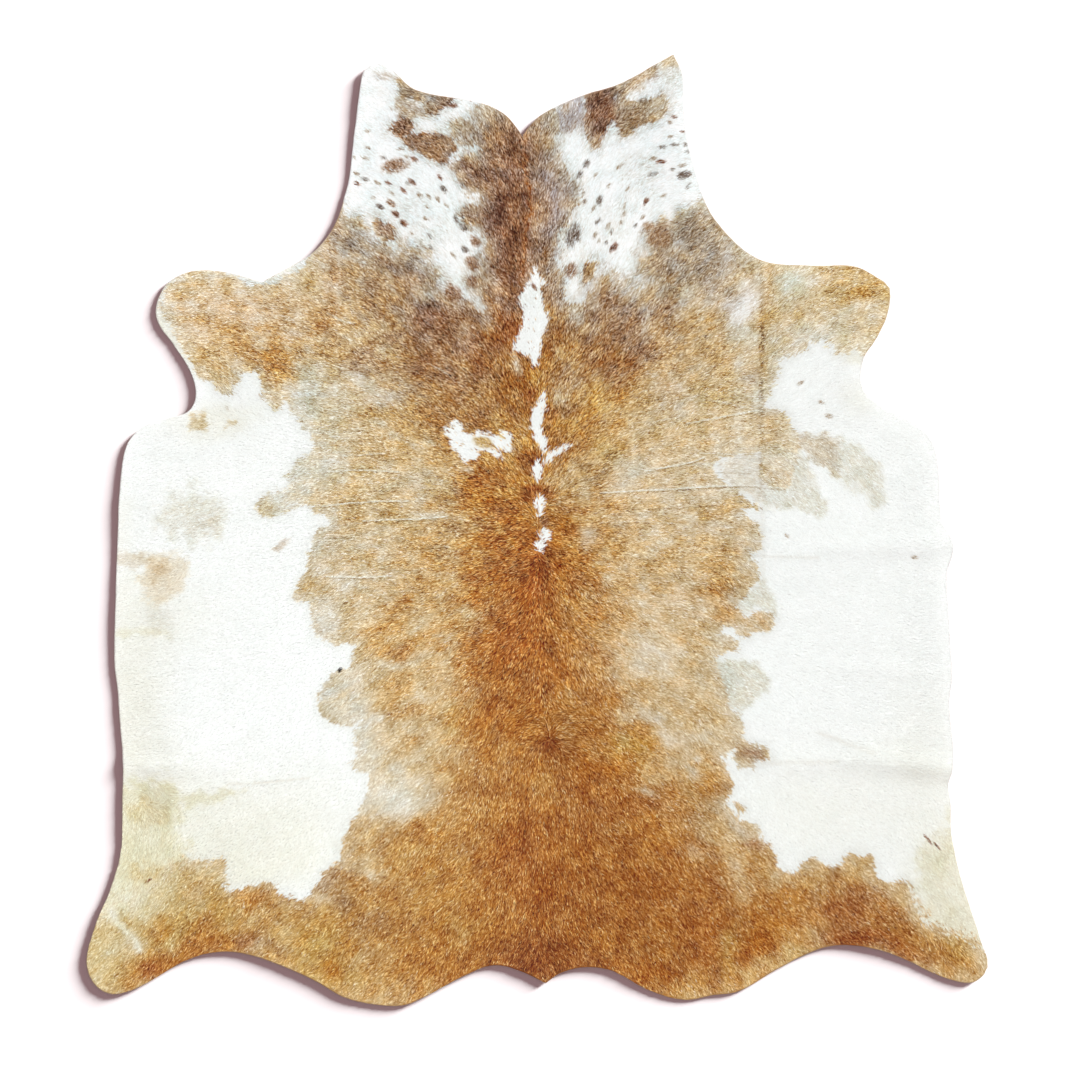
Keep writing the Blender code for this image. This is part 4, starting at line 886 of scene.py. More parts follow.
    (47.8, -69.2, 2.2, 0.9, -30, "chestnut", 0.75), (34.4, -71, 2.4, 1.5, -25, "pale sand", 0.8),
    (29.7, -69.2, 1.4, 1, 0, "sand", 0.7), (38, -68.6, 2.6, 1.2, -30, "sand", 0.6),
    (50, -73, 3, 3, 0, "ginger", 0.75), (45, -78, 3.4, 5, 0, "sand", 0.7),
    (43.5, -73.4, 2, 1.6, 0, "oat", 0.5), (53.5, -78, 5, 2.2, 0, "tan", 0.75),
    (31, -80, 13, 9, -30, "russet", 0.85), (-16, -87, 5, 4, 0, "gold", 0.4),
    (3, -91, 5, 4, 0, "dark", 0.5), (-62, -89.6, 3, 1.8, 0, "cocoa", 0.45),
    (-5, -71, 6, 4, 90, "rust", 0.5), (40, -76.5, 2, 1, -30, "sand", 0.4),
    (39, -91, 8, 7, -30, "rust", 0.7), (52, -84.4, 7, 5.4, 0, "copper", 0.9),
    (50, -86, 3, 2, 0, "amber", 0.35), (49.5, -90.4, 4, 3.2, 10, "amber", 0.95),
    (42.6, -91.4, 5, 2.6, 80, "gold", 0.75), (46, -92, 4, 2.6, 10, "rust", 0.5),
    (57, -93, 5.4, 1.9, 27, "gold", 0.5), (56, -93, 4, 1.8, 27, "wheat", 0.5),
    (54, -95, 4, 1.4, 27, "honey", 0.6), (60.6, -88.4, 4, 2.4, -10, "tan", 0.8),
    (63, -89, 1.6, 1.6, 0, "taupe", 0.6), (61, -77, 6, 3.4, 0, "ginger", 0.6),
    (59, -73.6, 3, 1.6, 0, "honey", 0.6), (70, -74.4, 4.6, 3, 0, "honey", 0.85),
    (66.5, -76, 2, 2, 0, "amber", 0.4), (70, -79.6, 2, 1, 0, "chestnut", 0.5),
    (68, -83.4, 8, 4.2, 0, "rust", 0.75), (66.4, -83, 3, 1.4, 20, "chestnut", 0.5),
    (72, -89.4, 6, 2.4, -4, "dark", 0.95), (66, -89, 3, 1.4, 0, "rust", 0.6),
    (77, -86, 4, 4, 0, "rust", 0.5), (80, -88.4, 5.6, 3, -30, "orange", 0.85),
    (80, -92, 6, 1.8, -25, "rust", 0.7), (81, -81, 3, 2, 0, "honey", 0.7),
    (83.4, -83.6, 2.8, 3.2, 0, "pale sand", 0.85), (90, -93.4, 6, 4, -20, "orange", 0.75),
    (89, -93, 2.6, 1.6, 0, "chestnut", 0.4), (86, -90, 4, 3, 0, "ginger", 0.6),
    (96.6, -93.6, 3.4, 3, 0, "sand", 0.8), (93.6, -89, 4, 2.4, -40, "pale sand", 0.8),
    (94, -97, 2.6, 1.4, 0, "tan", 0.5), (45.4, -97.4, 4, 1.8, 30, "honey", 0.8),
    (25, -97, 9, 4.4, 0, "russet", 0.8), (33, -100, 6, 2, 20, "ginger", 0.4),
    (12, -97, 6, 4, 0, "dark", 0.3),
    # small patches over all of these
    (-35, 17, 3.6, 3, 0, "tan", 0.75), (-43, -37, 3, 2.6, 0, "sand", 0.45),
    (-62, -81, 5, 2.6, 8, "copper", 0.6), (-83, -87, 3, 2.6, 0, "ginger", 0.7),
    (-74, -78, 3, 3, 0, "honey", 0.9), (44, -20, 5, 2.6, -6, "ginger", 0.7),
    (66, 51, 4, 3, 0, "honey", 0.9), (56, 55, 3.4, 3, 0, "pale oat", 0.8),
    (25, -66, 5, 3, -20, "copper", 0.85), (71, -89, 4, 2, 0, "rust", 0.5),
    (25, 93, 3.4, 3, 0, "sand", 0.5), (20, 15, 3.4, 3, 0, "oat", 0.8),
    (-20, 10, 3.6, 2.6, 0, "sand", 0.6), (12, 38, 3, 3, 0, "copper", 0.4),
    (45, 42, 3.4, 3, 0, "pale oat", 0.6), (-30, 38, 3, 3, 0, "tan", 0.7),
    (-30, 30, 3, 3, 0, "taupe", 0.35), (-45, 38, 3.4, 3, 0, "tan", 0.85),
    (-6, 50, 2.6, 3, 90, "taupe", 0.55), (-18, 33, 3, 3, 0, "cocoa", 0.4),
    (15, -52, 3.6, 3, 0, "russet", 0.8), (30, -52, 3, 2.6, 0, "sand", 0.4),
    (20, -48, 4, 2.6, -20, "gold", 0.95), (12, -20, 4, 3, 0, "honey", 0.5),
    (-10, -12, 3, 3, 0, "orange", 0.6), (-57, 36, 4, 3, 0, "tan", 0.55),
    (8, 10, 3, 3, 0, "sand", 0.35), (-20, -28, 3.6, 3, 0, "sand", 0.5),
    (18, -60, 4, 3, 0, "russet", 0.5), (-5, -70, 5, 3, 90, "rust", 0.4),
    (22, 24, 3, 3, 0, "tan", 0.5), (48, 28, 3, 3, 0, "pale oat", 0.6),
    (40, 50, 3, 3, 0, "pale smoke", 0.35), (25, -97, 5, 3, 0, "amber", 0.5),
    (14, 90.5, 5, 2.6, 85, "taupe", 0.4), (-5, -25, 5, 4, 90, "russet", 0.7),
    (-12, 8, 4, 3, 0, "orange", 0.8), (-15, 40, 4, 3, 0, "cocoa", 0.8),
    (-23, 47, 4, 3, 0, "umber", 0.45), (-37, 38, 3.4, 3, 0, "taupe", 0.45),
    (-24, -66, 4, 3, 0, "copper", 0.5), (-74, -78, 3, 3, 0, "sand", 0.5),
    (35, 40, 3.4, 3, 0, "sand", 0.45), (60, 44, 3.4, 3, 0, "pale oat", 0.7),
    (56, 55, 4, 3, 0, "pale cream", 0.7), (-8, 86, 3, 3, 0, "copper", 0.25),
    (14, 92, 3, 3, 0, "umber", 0.4), (20, 15, 3, 3, 0, "pale oat", 0.5),
    (15, 18, 3.4, 3, 0, "gold", 0.55), (45, 42, 3.4, 3, 0, "pale oat", 0.6),
    (-72, 52, 3, 3, 0, "sand", 0.5), (-6, 50, 2.6, 3, 90, "cocoa", 0.6),
    (-18, 33, 3.4, 3, 0, "cocoa", 0.6), (-8, 22, 3, 3, 0, "tan", 0.35),
    (-45, -8, 3, 3, 0, "pale oat", 0.5), (71, -89, 4, 2, 0, "dark", 0.4),
    (62, 48, 14, 6, 0, "pale cream", 0.2), (25, 38, 16, 12, 0, "pale cream", 0.07),
    (-27, 38, 15, 12, 0, "cocoa", 0.12), (-45, -89, 15, 9, 0, "gold", 0.3),
    (-5, -25, 5, 4, 90, "rust", 0.5), (36, -8, 3, 3, 0, "tan", 0.6),
    (66, 51, 3, 2.6, 0, "sand", 0.5), (45, 42, 3, 3, 0, "mist", 0.4), (-8, 22, 3, 3, 0, "tan", 0.5),
    (-43, 28, 3, 3, 0, "pale oat", 0.4), (-63, 46, 20, 9, 0, "blush", 0.22),
    (-44, 52, 8, 2.4, 90, "blush", 0.3), (-28, 24, 3, 3, 0, "sand", 0.3),
    (8, 10, 3, 3, 0, "sand", 0.35), (3, -55, 2.6, 5, 25, "copper", 0.5),
    (-6, 50, 2.6, 3, 90, "rosy umber", 0.25), (-8, 22, 3, 3, 0, "ginger", 0.6),
    (25, 40, 14, 11, 0, "blush", 0.1), (18, 38, 4, 4, 0, "copper", 0.45),
    (8, 33, 4, 3, 0, "cocoa", 0.3), (20, 45, 4, 3.4, 0, "cocoa", 0.45),
    (27, 47, 4, 3, 0, "rosy umber", 0.3), (0, 90, 3.4, 2.6, 0, "smoke", 0.7),
    (-38, 63, 4, 3, 0, "smoke", 0.6), (-8, -38, 4, 4, 0, "russet", 0.7),
    (-4, -43, 4, 3, 0, "amber", 0.5), (18, -52, 3.6, 3, 0, "amber", 0.6),
    (-10, -2, 4, 3, 0, "orange", 0.6), (-36, -86, 4, 3, 0, "taupe", 0.5),
    (-62, -92, 5, 1.6, 8, "taupe", 0.5), (92, -92, 3, 3, 0, "gold", 0.7),
    (-1, -96.5, 9, 1.6, 0, "dark", 0.4), (50, -68, 2, 2, 0, "pale oat", 0.6),
    (-30, -72, 4, 3, 0, "ginger", 0.6), (35, 52, 4, 3, 0, "mist", 0.4),
    (41, 60, 4, 3, 0, "pale smoke", 0.7), (-45, 50, 3, 3, 0, "tan", 0.6),
    (45, -20.5, 3, 2, 0, "honey", 0.5), (-3, 66, 14, 4.5, 90, "rust", 0.25),
]

# Faint tints of the white hair, painted the same way, and two strokes of painted fold shade
WHITE_TONES_AND_FOLD_SHADE = [
    (-28, 84, 20, 18, 0, "frost", 0.95), (22, 86, 18, 18, 0, "frost", 0.95),
    (-92, 8, 22, 5, 90, "frost", 0.7), (-62, -70, 16, 7, 0, "pale cream", 0.8),
    # the ash strokes at (88, -53.4) and (-87, -48) are painted shade of flank folds
    (-64, -75, 12, 4.4, 0, "cream", 0.5), (88, -53.4, 6, 2.4, -20, "ash", 0.25),
    (-87, -48, 7, 2, 0, "ash", 0.2), (-24, 66, 9, 4, -50, "pearl", 0.25),
    (17, 66, 10, 4, 60, "pearl", 0.2), (-90, -40, 26, 9, 90, "milk", 0.9),
    (-80, -66, 14, 12, 0, "cream", 0.55), (-62, -66, 22, 12, 10, "milk", 0.8),
    (88, -64, 26, 9, 100, "milk", 0.5), (90, -80, 12, 8, 90, "cream", 0.6),
    (64, -62, 20, 12, 0, "milk", 0.45), (80, -50, 9, 6, 0, "milk", 0.2),
    (-84, -18, 12, 9, 0, "milk", 0.5), (-70, 24, 9, 3, 10, "milk", 0.8),
    (-82, 50, 10, 3, 80, "cream", 0.55), (-79, 42, 7, 3, 120, "cream", 0.5),
    (-57, 57, 8, 3, 10, "cream", 0.5), (70, 30, 5, 4, 30, "milk", 0.4),
    (-92, 0, 16, 4, 90, "milk", 0.5), (28, 102.5, 4, 2, 30, "oat", 0.5),
    (-73, 56.5, 7, 1.5, 0, "cream", 0.5), (70, 39, 4, 2, 0, "cream", 0.5),
    (92, -88, 6, 4, -40, "cream", 0.5), (-88, -72, 12, 6, 90, "cream", 0.6),
]

# Creases drawn as painted light and shade: route, width in cm, and shade, a painted highlight above 0
Crease = namedtuple("Crease", "route width shade")
CREASE_LIGHT_AND_SHADE = [
    Crease([(-47, 5.2), (-41, 5.9), (-35, 6.3), (-28, 6.4)], 0.17, 1.0),
    Crease([(-38, 2.0), (-32, 2.3), (-26, 2.4), (-19.5, 3.0)], 0.17, 1.0),
    Crease([(-46, -10.2), (-39, -10.4), (-32, -10.1)], 0.17, 0.9),
    Crease([(-46, 12.9), (-39, 13.2), (-30, 12.8)], 0.16, 0.9),
    Crease([(-47, 16.2), (-40, 16.4), (-33, 16.9)], 0.15, 0.6),
    Crease([(-40, 8.2), (-33, 8.7), (-27, 8.2)], 0.14, -0.5),
    Crease([(-46, -1.9), (-40, -1.7), (-36, -2.2)], 0.15, -0.8),
    Crease([(-30, -3.9), (-25, -4.2), (-19, -3.8)], 0.15, -0.8),
    Crease([(-44, 21.9), (-41.5, 21.5), (-38, 21.9)], 0.14, -0.6),
    Crease([(-27, 14.2), (-24.6, 12), (-22.2, 10)], 0.14, -0.6),
    Crease([(-25, 14.4), (-22.6, 12.4), (-20.4, 10.8)], 0.14, -0.5),
    Crease([(-46, 47.7), (-44, 46.7), (-42.6, 45.9), (-40, 45.4)], 0.19, 0.9),
    Crease([(-46.2, 48.2), (-44.2, 47.3), (-42.8, 46.5), (-40.2, 46)], 0.15, -0.7),
    Crease([(-24, 36.6), (-21.4, 35.4), (-19.5, 34.2)], 0.15, 0.7),
    Crease([(33, 23.4), (38, 24.3), (43, 25.3), (49, 26.4)], 0.17, 1.0),
    Crease([(38, 28.6), (42, 27.9), (46, 26.9)], 0.15, 0.7),
    Crease([(24, 13), (29, 13.9), (34, 14.9), (37, 16)], 0.17, 1.0),
    Crease([(36, 16.9), (42, 16.6), (49, 17)], 0.15, 0.7),
    Crease([(14, 8.2), (22, 8.6), (30, 9), (38, 9.6), (46, 9.9), (54, 9.2)], 0.17, 1.0),
    Crease([(15, 4.9), (24, 4.5), (33, 4.8), (40, 5.4)], 0.15, -0.6),
    Crease([(14, 1.6), (22, 1.9), (30, 1.5)], 0.14, 0.5),
    Crease([(34, 12.2), (40, 12.6), (47, 12.4)], 0.12, -0.5),
    Crease([(20, 23.5), (26, 23.9), (31, 24.8)], 0.14, 0.5),
    Crease([(38, -8.6), (42, -8.2), (46, -8.8)], 0.14, -0.5),
    Crease([(-9.6, 79.4), (-7, 78.9), (-3, 78.9), (-0.5, 79.8), (2.4, 80.4)], 0.17, 0.3),
    Crease([(-9.6, 78.7), (-7, 78.2), (-3, 78.2), (-0.4, 79)], 0.19, -0.5),
    Crease([(-96, -78.6), (-92, -80.4)], 0.12, -0.5),
    Crease([(-68, -55.9), (-60, -55.5), (-50, -54.5)], 0.25, -0.2),
    Crease([(48, -5.7), (55, -5.9), (62, -6)], 0.31, -0.14),
    Crease([(49, -51.4), (56, -51), (66, -51)], 0.6, -0.1),
    Crease([(62, -44.6), (68, -46.8), (74, -49)], 0.6, -0.12),
    Crease([(-43.3, 63), (-43.6, 50), (-44, 38), (-44.4, 24)], 0.5, 0.3),
    Crease([(-45, 63), (-45.2, 50), (-45.4, 38)], 0.7, -0.35),
    Crease([(49.3, 60), (49.6, 44), (49.4, 26), (49.3, 8)], 0.5, -0.4),
    Crease([(48.3, 58), (48.5, 44), (48.4, 26)], 0.5, 0.25),
    Crease([(49.6, 5), (49.8, -8), (49.7, -18)], 0.5, -0.1),
]
CREASE_MARGIN = 1.5
CREASE_SHADE = np.array([0.8, 1.0, 1.3])  # painted crease shade takes more of the blue than of the red
# how deep the painted shade of a dark crease is, and how far a pale crease's painted highlight goes
# towards milk
CREASE_SHADE_STRENGTH = 0.26
CREASE_HIGHLIGHT = 0.9
SHADOW_DARK = 0.17  # the painted shadow just below a crease's painted highlight
SHADOW_AT = 2.1  # its distance, in widths of the crease

# The lie of the coat: x, y, and the direction in degrees in which the hair's tips point
RIGHT_LIE = [
    (1, 92, 80), (8, 85, 66), (16, 72, 60), (23, 88, 42), (30, 85, 8), (32, 78, 18), (27, 98, 36),
    (3, 66, 78), (10, 52, 58), (2, 45, 74), (20, 45, 47), (34, 56, 45), (46, 60, 38), (34, 40, 30),
    (55, 50, 30), (70, 50, 20), (75, 45, 8), (61, 34, 33), (72, 31, 8), (30, 29, 24), (45, 25, 10),
    (3, 28, 66), (12, 24, 36), (3, 14, 50), (15, 10, 12), (35, 10, 2), (57, 9, -36), (70, 13, -46),
    (86, 12, -18), (92, -8, -8), (3, 0, -30), (12, -4, -6), (30, -8, -6), (46, -16, -32),
    (68, -18, -12), (90, -40, -8), (3, -14, -62), (14, -20, -26), (34, -30, -24), (46, -38, -32),
    (70, -48, -18), (30, -50, -36), (46, -64, -42), (70, -62, -34), (4, -32, -70), (20, -74, -50),
    (10, -90, -62), (35, -90, -50), (60, -85, -45), (80, -85, -42), (93, -92, -50), (88, -70, -48),
    (3, -64, -80), (3, -84, -84),
]
LEFT_LIE = [
    (-1, 92, 100), (-8, 82, 122), (-16, 70, 132), (-26, 94, 152), (-30, 85, 142), (-36, 76, 152),
    (-3, 66, 104), (-10, 52, 130), (-2, 44, 108), (-22, 46, 136), (-31, 58, 136), (-41, 56, 150),
    (-55, 50, 166), (-70, 50, 178), (-79, 45, 182), (-60, 37, 160), (-68, 27, 130), (-72, 22, 188),
    (-86, 20, 190), (-30, 30, 160), (-46, 25, 176), (-3, 28, 118), (-12, 25, 144), (-3, 12, 140),
    (-15, 8, 168), (-35, 8, 180), (-56, 6, 200), (-75, 5, 196), (-91, -5, 190), (-3, -2, 196),
    (-10, -6, 187), (-28, -8, 185), (-46, -15, 206), (-70, -20, 196), (-91, -40, 190),
    (-3, -16, 236), (-15, -20, 206), (-34, -30, 214), (-46, -40, 214), (-70, -50, 206),
    (-30, -52, 219), (-45, -65, 222), (-70, -64, 215), (-3, -34, 248), (-20, -75, 228),
    (-10, -90, 242), (-35, -90, 226), (-60, -88, 222), (-80, -86, 232), (-95, -95, 226),
    (-88, -74, 246), (-3, -62, 260), (-3, -84, 264),
]

# How the directions above are joined into one lie
PARTING_WIDTH = 1.0
LIE_SPREAD = 16  # in square cm: how far around it each direction is felt alike
SPINE_X = 0.4
SPINE_PULL = 1.5  # how strongly the hair beside the back line lies along it
SPINE_REACH = 1.7  # how far to either side of the back line, in cm
SPINE_TURN_Y = -6  # above this height the hair there points to the neck, below it to the tail
SPINE_TURN_REACH = 3
SPINE_TOP = 36
SPINE_TOP_FADE = 8
SPINE_END = -44
SPINE_END_FADE = 10
Whorl = namedtuple("Whorl", "x y reach spin")
WHORLS = [Whorl(3, -46.5, 8.5, 0.25), Whorl(-86, -60, 6.5, 0.9)]
WHORL_HOLD = 1.6

# How strokes are laid: how far and over what length their outlines wander, in cm, and how they fade
STROKE_WAVER = 1.3
STROKE_WAVER_SIZE = 5
STROKE_RIPPLE = 0.6
STROKE_RIPPLE_SIZE = 1.7
STROKE_FADE = 1.25

# How ragged the borders are, by a wider and a finer noise: how far and over what length, in cm
FRINGE = 0.55
FRINGE_SIZE = 2.1
FINE_FRINGE = 0.4
FINE_FRINGE_SIZE = 0.8

# Where a trait of the coat begins to change towards the neck, and over how many cm it does
NECK_Y = 42
NECK_CHANGE = 16
FLANK_Y = -68
FLANK_CHANGE = 12
HIND_Y = -75
HIND_CHANGE = 120

# How far single blades stray in light from the tone around them, by the mean value of that tone
GRAIN_AT = [0, 60, 90, 115, 140, 155, 175, 191, 208, 220, 246, 255]
GRAIN = [25, 38, 39, 37, 33, 28.5, 20.5, 15.5, 11.5, 9.5, 1.5, 1.0]
GRAIN_BY_CHANNEL = np.array([0.7, 0.93, 1.16])
WISP_STRAY = 0.45
BLADE_STRAY = 2.15
ROOT_SHADE_STRAY = -0.55  # painted shade that darkens a blade's root, and painted light that lightens its tip
TIP_LIGHT_STRAY = 0.3

# How much of that grain shows, for white and for coloured hair: far from the neck, and on it
WHITE_LIFE = 0.3
NECK_WHITE_LIFE = 1.6
HIND_LIFE = 0.74
NECK_LIFE = 1.25

# How strong the soft clouds of light are, by the value of a channel, and their sizes in cm
CLOUD_AT = [0, 45, 95, 130, 160, 185, 205, 220, 247, 255]
CLOUD = [5, 9, 12, 13, 12, 9, 6.5, 4.5, 0.7, 0.5]
CLOUD_STREAK = 2.1
CLOUD_STREAK_SIZE = 0.45
CLOUD_PATCH = 2.0
CLOUD_PATCH_SIZE = 2.6

# The same for clouds of hue, between yellow and a bluish grey
HUE_WAY = np.array([0.5, -0.1, -1.0])
HUE_STREAK = 17
HUE_STREAK_SIZE = 0.9
HUE_PATCH = 9
HUE_PATCH_SIZE = 2.1
HUE_PALEST = 246  # green values between which hair has clouds of hue, and how softly they set in
HUE_PALE_RANGE = 70
HUE_DARKEST = 40
HUE_DARK_RANGE = 110
STREAK_REACH = 1.6  # how far a streak is drawn out along the hair, in cm
STREAK_STEPS = 7


# ---------------------------------------------------------------- what the maps say of a place


def tone(name):
    return np.array(TONES[name], dtype=float)


def towards(colour, name, share):
    """The colours, each gone a share of the way to a tone."""
    return colour + share[:, None] * (tone(name) - colour)


def between(first, last, share):
    return first + (last - first) * share


def linear(tones):
    """Linear light of sRGB tones from 0 to 255."""
    share = np.clip(tones, 3, 253) / 255
    return np.where(share <= 0.04045, share / 12.92, ((share + 0.055) / 1.055) ** 2.4)


def in_ellipse(right, up, along, across, degrees):
    """Places from the middle of a turned ellipse, with its rim at a distance of 1."""
    turned = math.radians(degrees)
    u = (right * math.cos(turned) + up * math.sin(turned)) / along
    v = (-right * math.sin(turned) + up * math.cos(turned)) / across
    return u, v


def wandered(values, x, y, noise):
    """The values, moved by the waver and the ripple of the strokes' outlines."""
    wide = STROKE_WAVER * noise.at(x, y, STROKE_WAVER_SIZE)
    return values + wide + STROKE_RIPPLE * noise.at(x, y, STROKE_RIPPLE_SIZE)


def painted(x, y, first_tone, strokes):
    """The tone at each place, after every stroke has been laid over the ones before it."""
    colour = np.tile(tone(first_tone), (len(x), 1))
    warped_x = wandered(x, x, y, Noise(SEED + 1))
    warped_y = wandered(y, x, y, Noise(SEED + 2))
    for stroke_x, stroke_y, along, across, degrees, name, strength in strokes:
        u, v = in_ellipse(warped_x - stroke_x, warped_y - stroke_y, along, across, degrees)
        colour = towards(colour, name, strength * np.exp(-(u * u + v * v) ** STROKE_FADE))
    return colour


def unit(ways):
    return ways / np.maximum(np.linalg.norm(ways, axis=1), 1e-6)[:, None]


def lie_from(x, y, anchors):
    """Unit vectors that turn smoothly from one given direction to the next."""
    total = np.zeros((len(x), 2))
    for anchor_x, anchor_y, degrees in anchors:
        gap = (x - anchor_x) ** 2 + (y - anchor_y) ** 2
        weight = 1 / (gap + LIE_SPREAD) ** 2
        turned = math.radians(degrees)
        total += weight[:, None] * np.array([math.cos(turned), math.sin(turned)])
    return total / np.linalg.norm(total, axis=1)[:, None]


def lie_of_hair(x, y):
    """Unit vectors along which the hair lies, root to tip."""
    to_right = ease(0.5 + (x - SPINE_X) / PARTING_WIDTH)[:, None]
    way = lie_from(x, y, RIGHT_LIE) * to_right + lie_from(x, y, LEFT_LIE) * (1 - to_right)
    pull = SPINE_PULL * np.exp(-((x - SPINE_X) / SPINE_REACH) ** 2)
    pull = pull * ease((SPINE_TOP - y) / SPINE_TOP_FADE) * ease((y - SPINE_END) / SPINE_END_FADE)
    way[:, 1] += pull * np.clip((y - SPINE_TURN_Y) / SPINE_TURN_REACH, -1, 1)
    way = unit(way)
    for whorl in WHORLS:
        out = np.stack([x - whorl.x, y - whorl.y], axis=1)
        far = np.linalg.norm(out, axis=1)
        out = unit(out)
        around = np.stack([-out[:, 1], out[:, 0]], axis=1)
        hold = np.exp(-(far / whorl.reach) ** 2)[:, None] * WHORL_HOLD
        way = way + hold * (out + whorl.spin * around)
    return unit(way)


def near_route(x, y, route):
    """Distance of each point to an open route, and on which side of it (above 0 where higher)."""
    best = np.full(len(x), np.inf)
    side = np.zeros(len(x))
    for (ax, ay), (bx, by) in zip(route, route[1:]):
        length = (bx - ax) ** 2 + (by - ay) ** 2
        share = np.clip(((x - ax) * (bx - ax) + (y - ay) * (by - ay)) / length, 0, 1)
        gap_x = x - ax - share * (bx - ax)
        gap_y = y - ay - share * (by - ay)
        gap = np.hypot(gap_x, gap_y)
        nearer = gap < best
        best = np.where(nearer, gap, best)
        side = np.where(nearer, gap_y, side)
    return best, side


def coloured_wisps(x, y, chance, fringe):
    """Which wisps are coloured, how deep in the brown coat they are, and how near to any colour."""
    depth = inside_distance(x, y, BROWN_COAT)
    near_colour = depth.copy()
    softness = np.full(len(x), BORDER_SOFTNESS)
    for soft_x, soft_y, reach, more in SOFT_BORDERS:
        softness += more * np.exp(-((x - soft_x) ** 2 + (y - soft_y) ** 2) / reach ** 2)
    ragged_depth = depth + fringe * np.sqrt(softness / BORDER_SOFTNESS)
    coloured = chance < ease(0.5 + ragged_depth / softness)
    for outline in WHITE_MARKS.values():
        near = in_box(x, y, outline, OUTLINE_MARGIN)
        inner = inside_distance(x[near], y[near], outline) + MARK_FRINGE * fringe[near] - MARK_INSET
        coloured[near] &= chance[near] > MARK_WHITE * ease(0.5 + inner / MARK_SOFTNESS)
        near_colour[near] = np.where(inner > -MARK_SOFTNESS, -HALO_REACH, near_colour[near])
    for outline in BROWN_ISLANDS.values():
        near = in_box(x, y, outline, OUTLINE_MARGIN)
        inner = inside_distance(x[near], y[near], outline) + ISLAND_FRINGE * fringe[near]
        coloured[near] |= chance[near] < ease(0.5 + inner / ISLAND_SOFTNESS)
        near_colour[near] = np.maximum(near_colour[near], inner)
    return coloured, depth, near_colour


def coat_of(x, y, rng):
    """The tone of each wisp, from its place in centimetres, and how much of its grain shows."""
    chance = rng.random(len(x))
    ragged = Noise(SEED + 3)
    fringe = FRINGE * ragged.at(x, y, FRINGE_SIZE) + FINE_FRINGE * ragged.at(x, y, FINE_FRINGE_SIZE)
    coloured, depth, near_colour = coloured_wisps(x, y, chance, fringe)
    on_neck = ease((y - NECK_Y) / NECK_CHANGE)
    on_flank = ease((y - FLANK_Y) / FLANK_CHANGE)
    off_hind = ease((y - HIND_Y) / HIND_CHANGE)

    # white tints, with painted shade of folds at the flank rims
    colour = painted(x, y, "white", WHITE_TONES_AND_FOLD_SHADE)
    halo = between(HALO_SHARE, NECK_HALO_SHARE, on_neck) * ease(1 + near_colour / HALO_REACH)
    colour = towards(colour, "pearl", halo)
    colour[coloured] = painted(x[coloured], y[coloured], "sand", COLOURED_TONES)
    paling = between(BORDER_PALING, FLANK_PALING, on_flank)
    paling *= (1 - ease(depth / PALING_REACH)) * (coloured & (depth > -1))
    colour = towards(colour, "pale oat", paling)
    white_life = between(WHITE_LIFE, NECK_WHITE_LIFE, on_neck)
    life = np.where(coloured, between(HIND_LIFE, NECK_LIFE, off_hind), white_life)

    for haze in ROAN_AREAS.values():
        near = in_box(x, y, haze.outline, HAZE_MARGIN + haze.soft) & ~coloured
        inner = inside_distance(x[near], y[near], haze.outline)
        inner = inner + fringe[near] * (HAZE_FRINGE + haze.soft)
        mixed = HAZE_MIX * (chance[near] - 0.5)
        share = haze.share * ease(0.5 + inner / (2 * haze.soft) + mixed)
        colour[near] = towards(colour[near], haze.tone, share)
        life[near] = between(life[near], haze.life, share)
    return colour, life


def streaks(noise, x, y, way, size):
    """Noise drawn out along the hair."""
    steps = np.linspace(-STREAK_REACH, STREAK_REACH, STREAK_STEPS)
    places = ((x + step * way[:, 0], y + step * way[:, 1]) for step in steps)
    return sum(noise.at(place_x, place_y, size) for place_x, place_y in places) / STREAK_STEPS


def mottled(x, y, way, colour, life):
    """The tones with soft clouds of light and of hue, in streaks along the hair and in patches."""
    light = Noise(SEED + 4)
    cloud = CLOUD_STREAK * streaks(light, x, y, way, CLOUD_STREAK_SIZE)
    cloud = cloud + CLOUD_PATCH * light.at(x, y, CLOUD_PATCH_SIZE)
    cloudy = np.interp(colour, CLOUD_AT, CLOUD) * (cloud * life)[:, None]
    hues = Noise(SEED + 9)
    hue = HUE_STREAK * streaks(hues, x, y, way, HUE_STREAK_SIZE)
    hue = hue + HUE_PATCH * hues.at(x, y, HUE_PATCH_SIZE)
    green = colour[:, 1]
    room = np.clip((HUE_PALEST - green) / HUE_PALE_RANGE, 0, 1)
    room = room * np.clip((green - HUE_DARKEST) / HUE_DARK_RANGE, 0, 1) * np.minimum(life, 1)
    return colour + cloudy + (hue * room)[:, None] * HUE_WAY


def spotted(x, y, colour, life):
    """The tones and how much of their grain shows, with the spots laid in, from places in cm."""
    colour = colour.copy()
    life = life.copy()
    ragged = Noise(SEED + 3)
    for look in SPOTS:
        for spot_x, spot_y, length, width, degrees in look.spots:
            near = (np.abs(x - spot_x) < length + 1) & (np.abs(y - spot_y) < length + 1)
            along = length / 2 + SPOT_MARGIN
            across = width / 2 + SPOT_MARGIN
            u, v = in_ellipse(x[near] - spot_x, y[near] - spot_y, along, across, degrees)
            far = np.hypot(u, v) + SPOT_FRINGE * ragged.at(x[near], y[near], FINE_FRINGE_SIZE)
            share = look.share * ease((SPOT_END - far) / SPOT_FADE)
            colour[near] = towards(colour[near], look.tone, share)
            life[near] = between(life[near], SPOT_LIFE, share)
    return colour, life


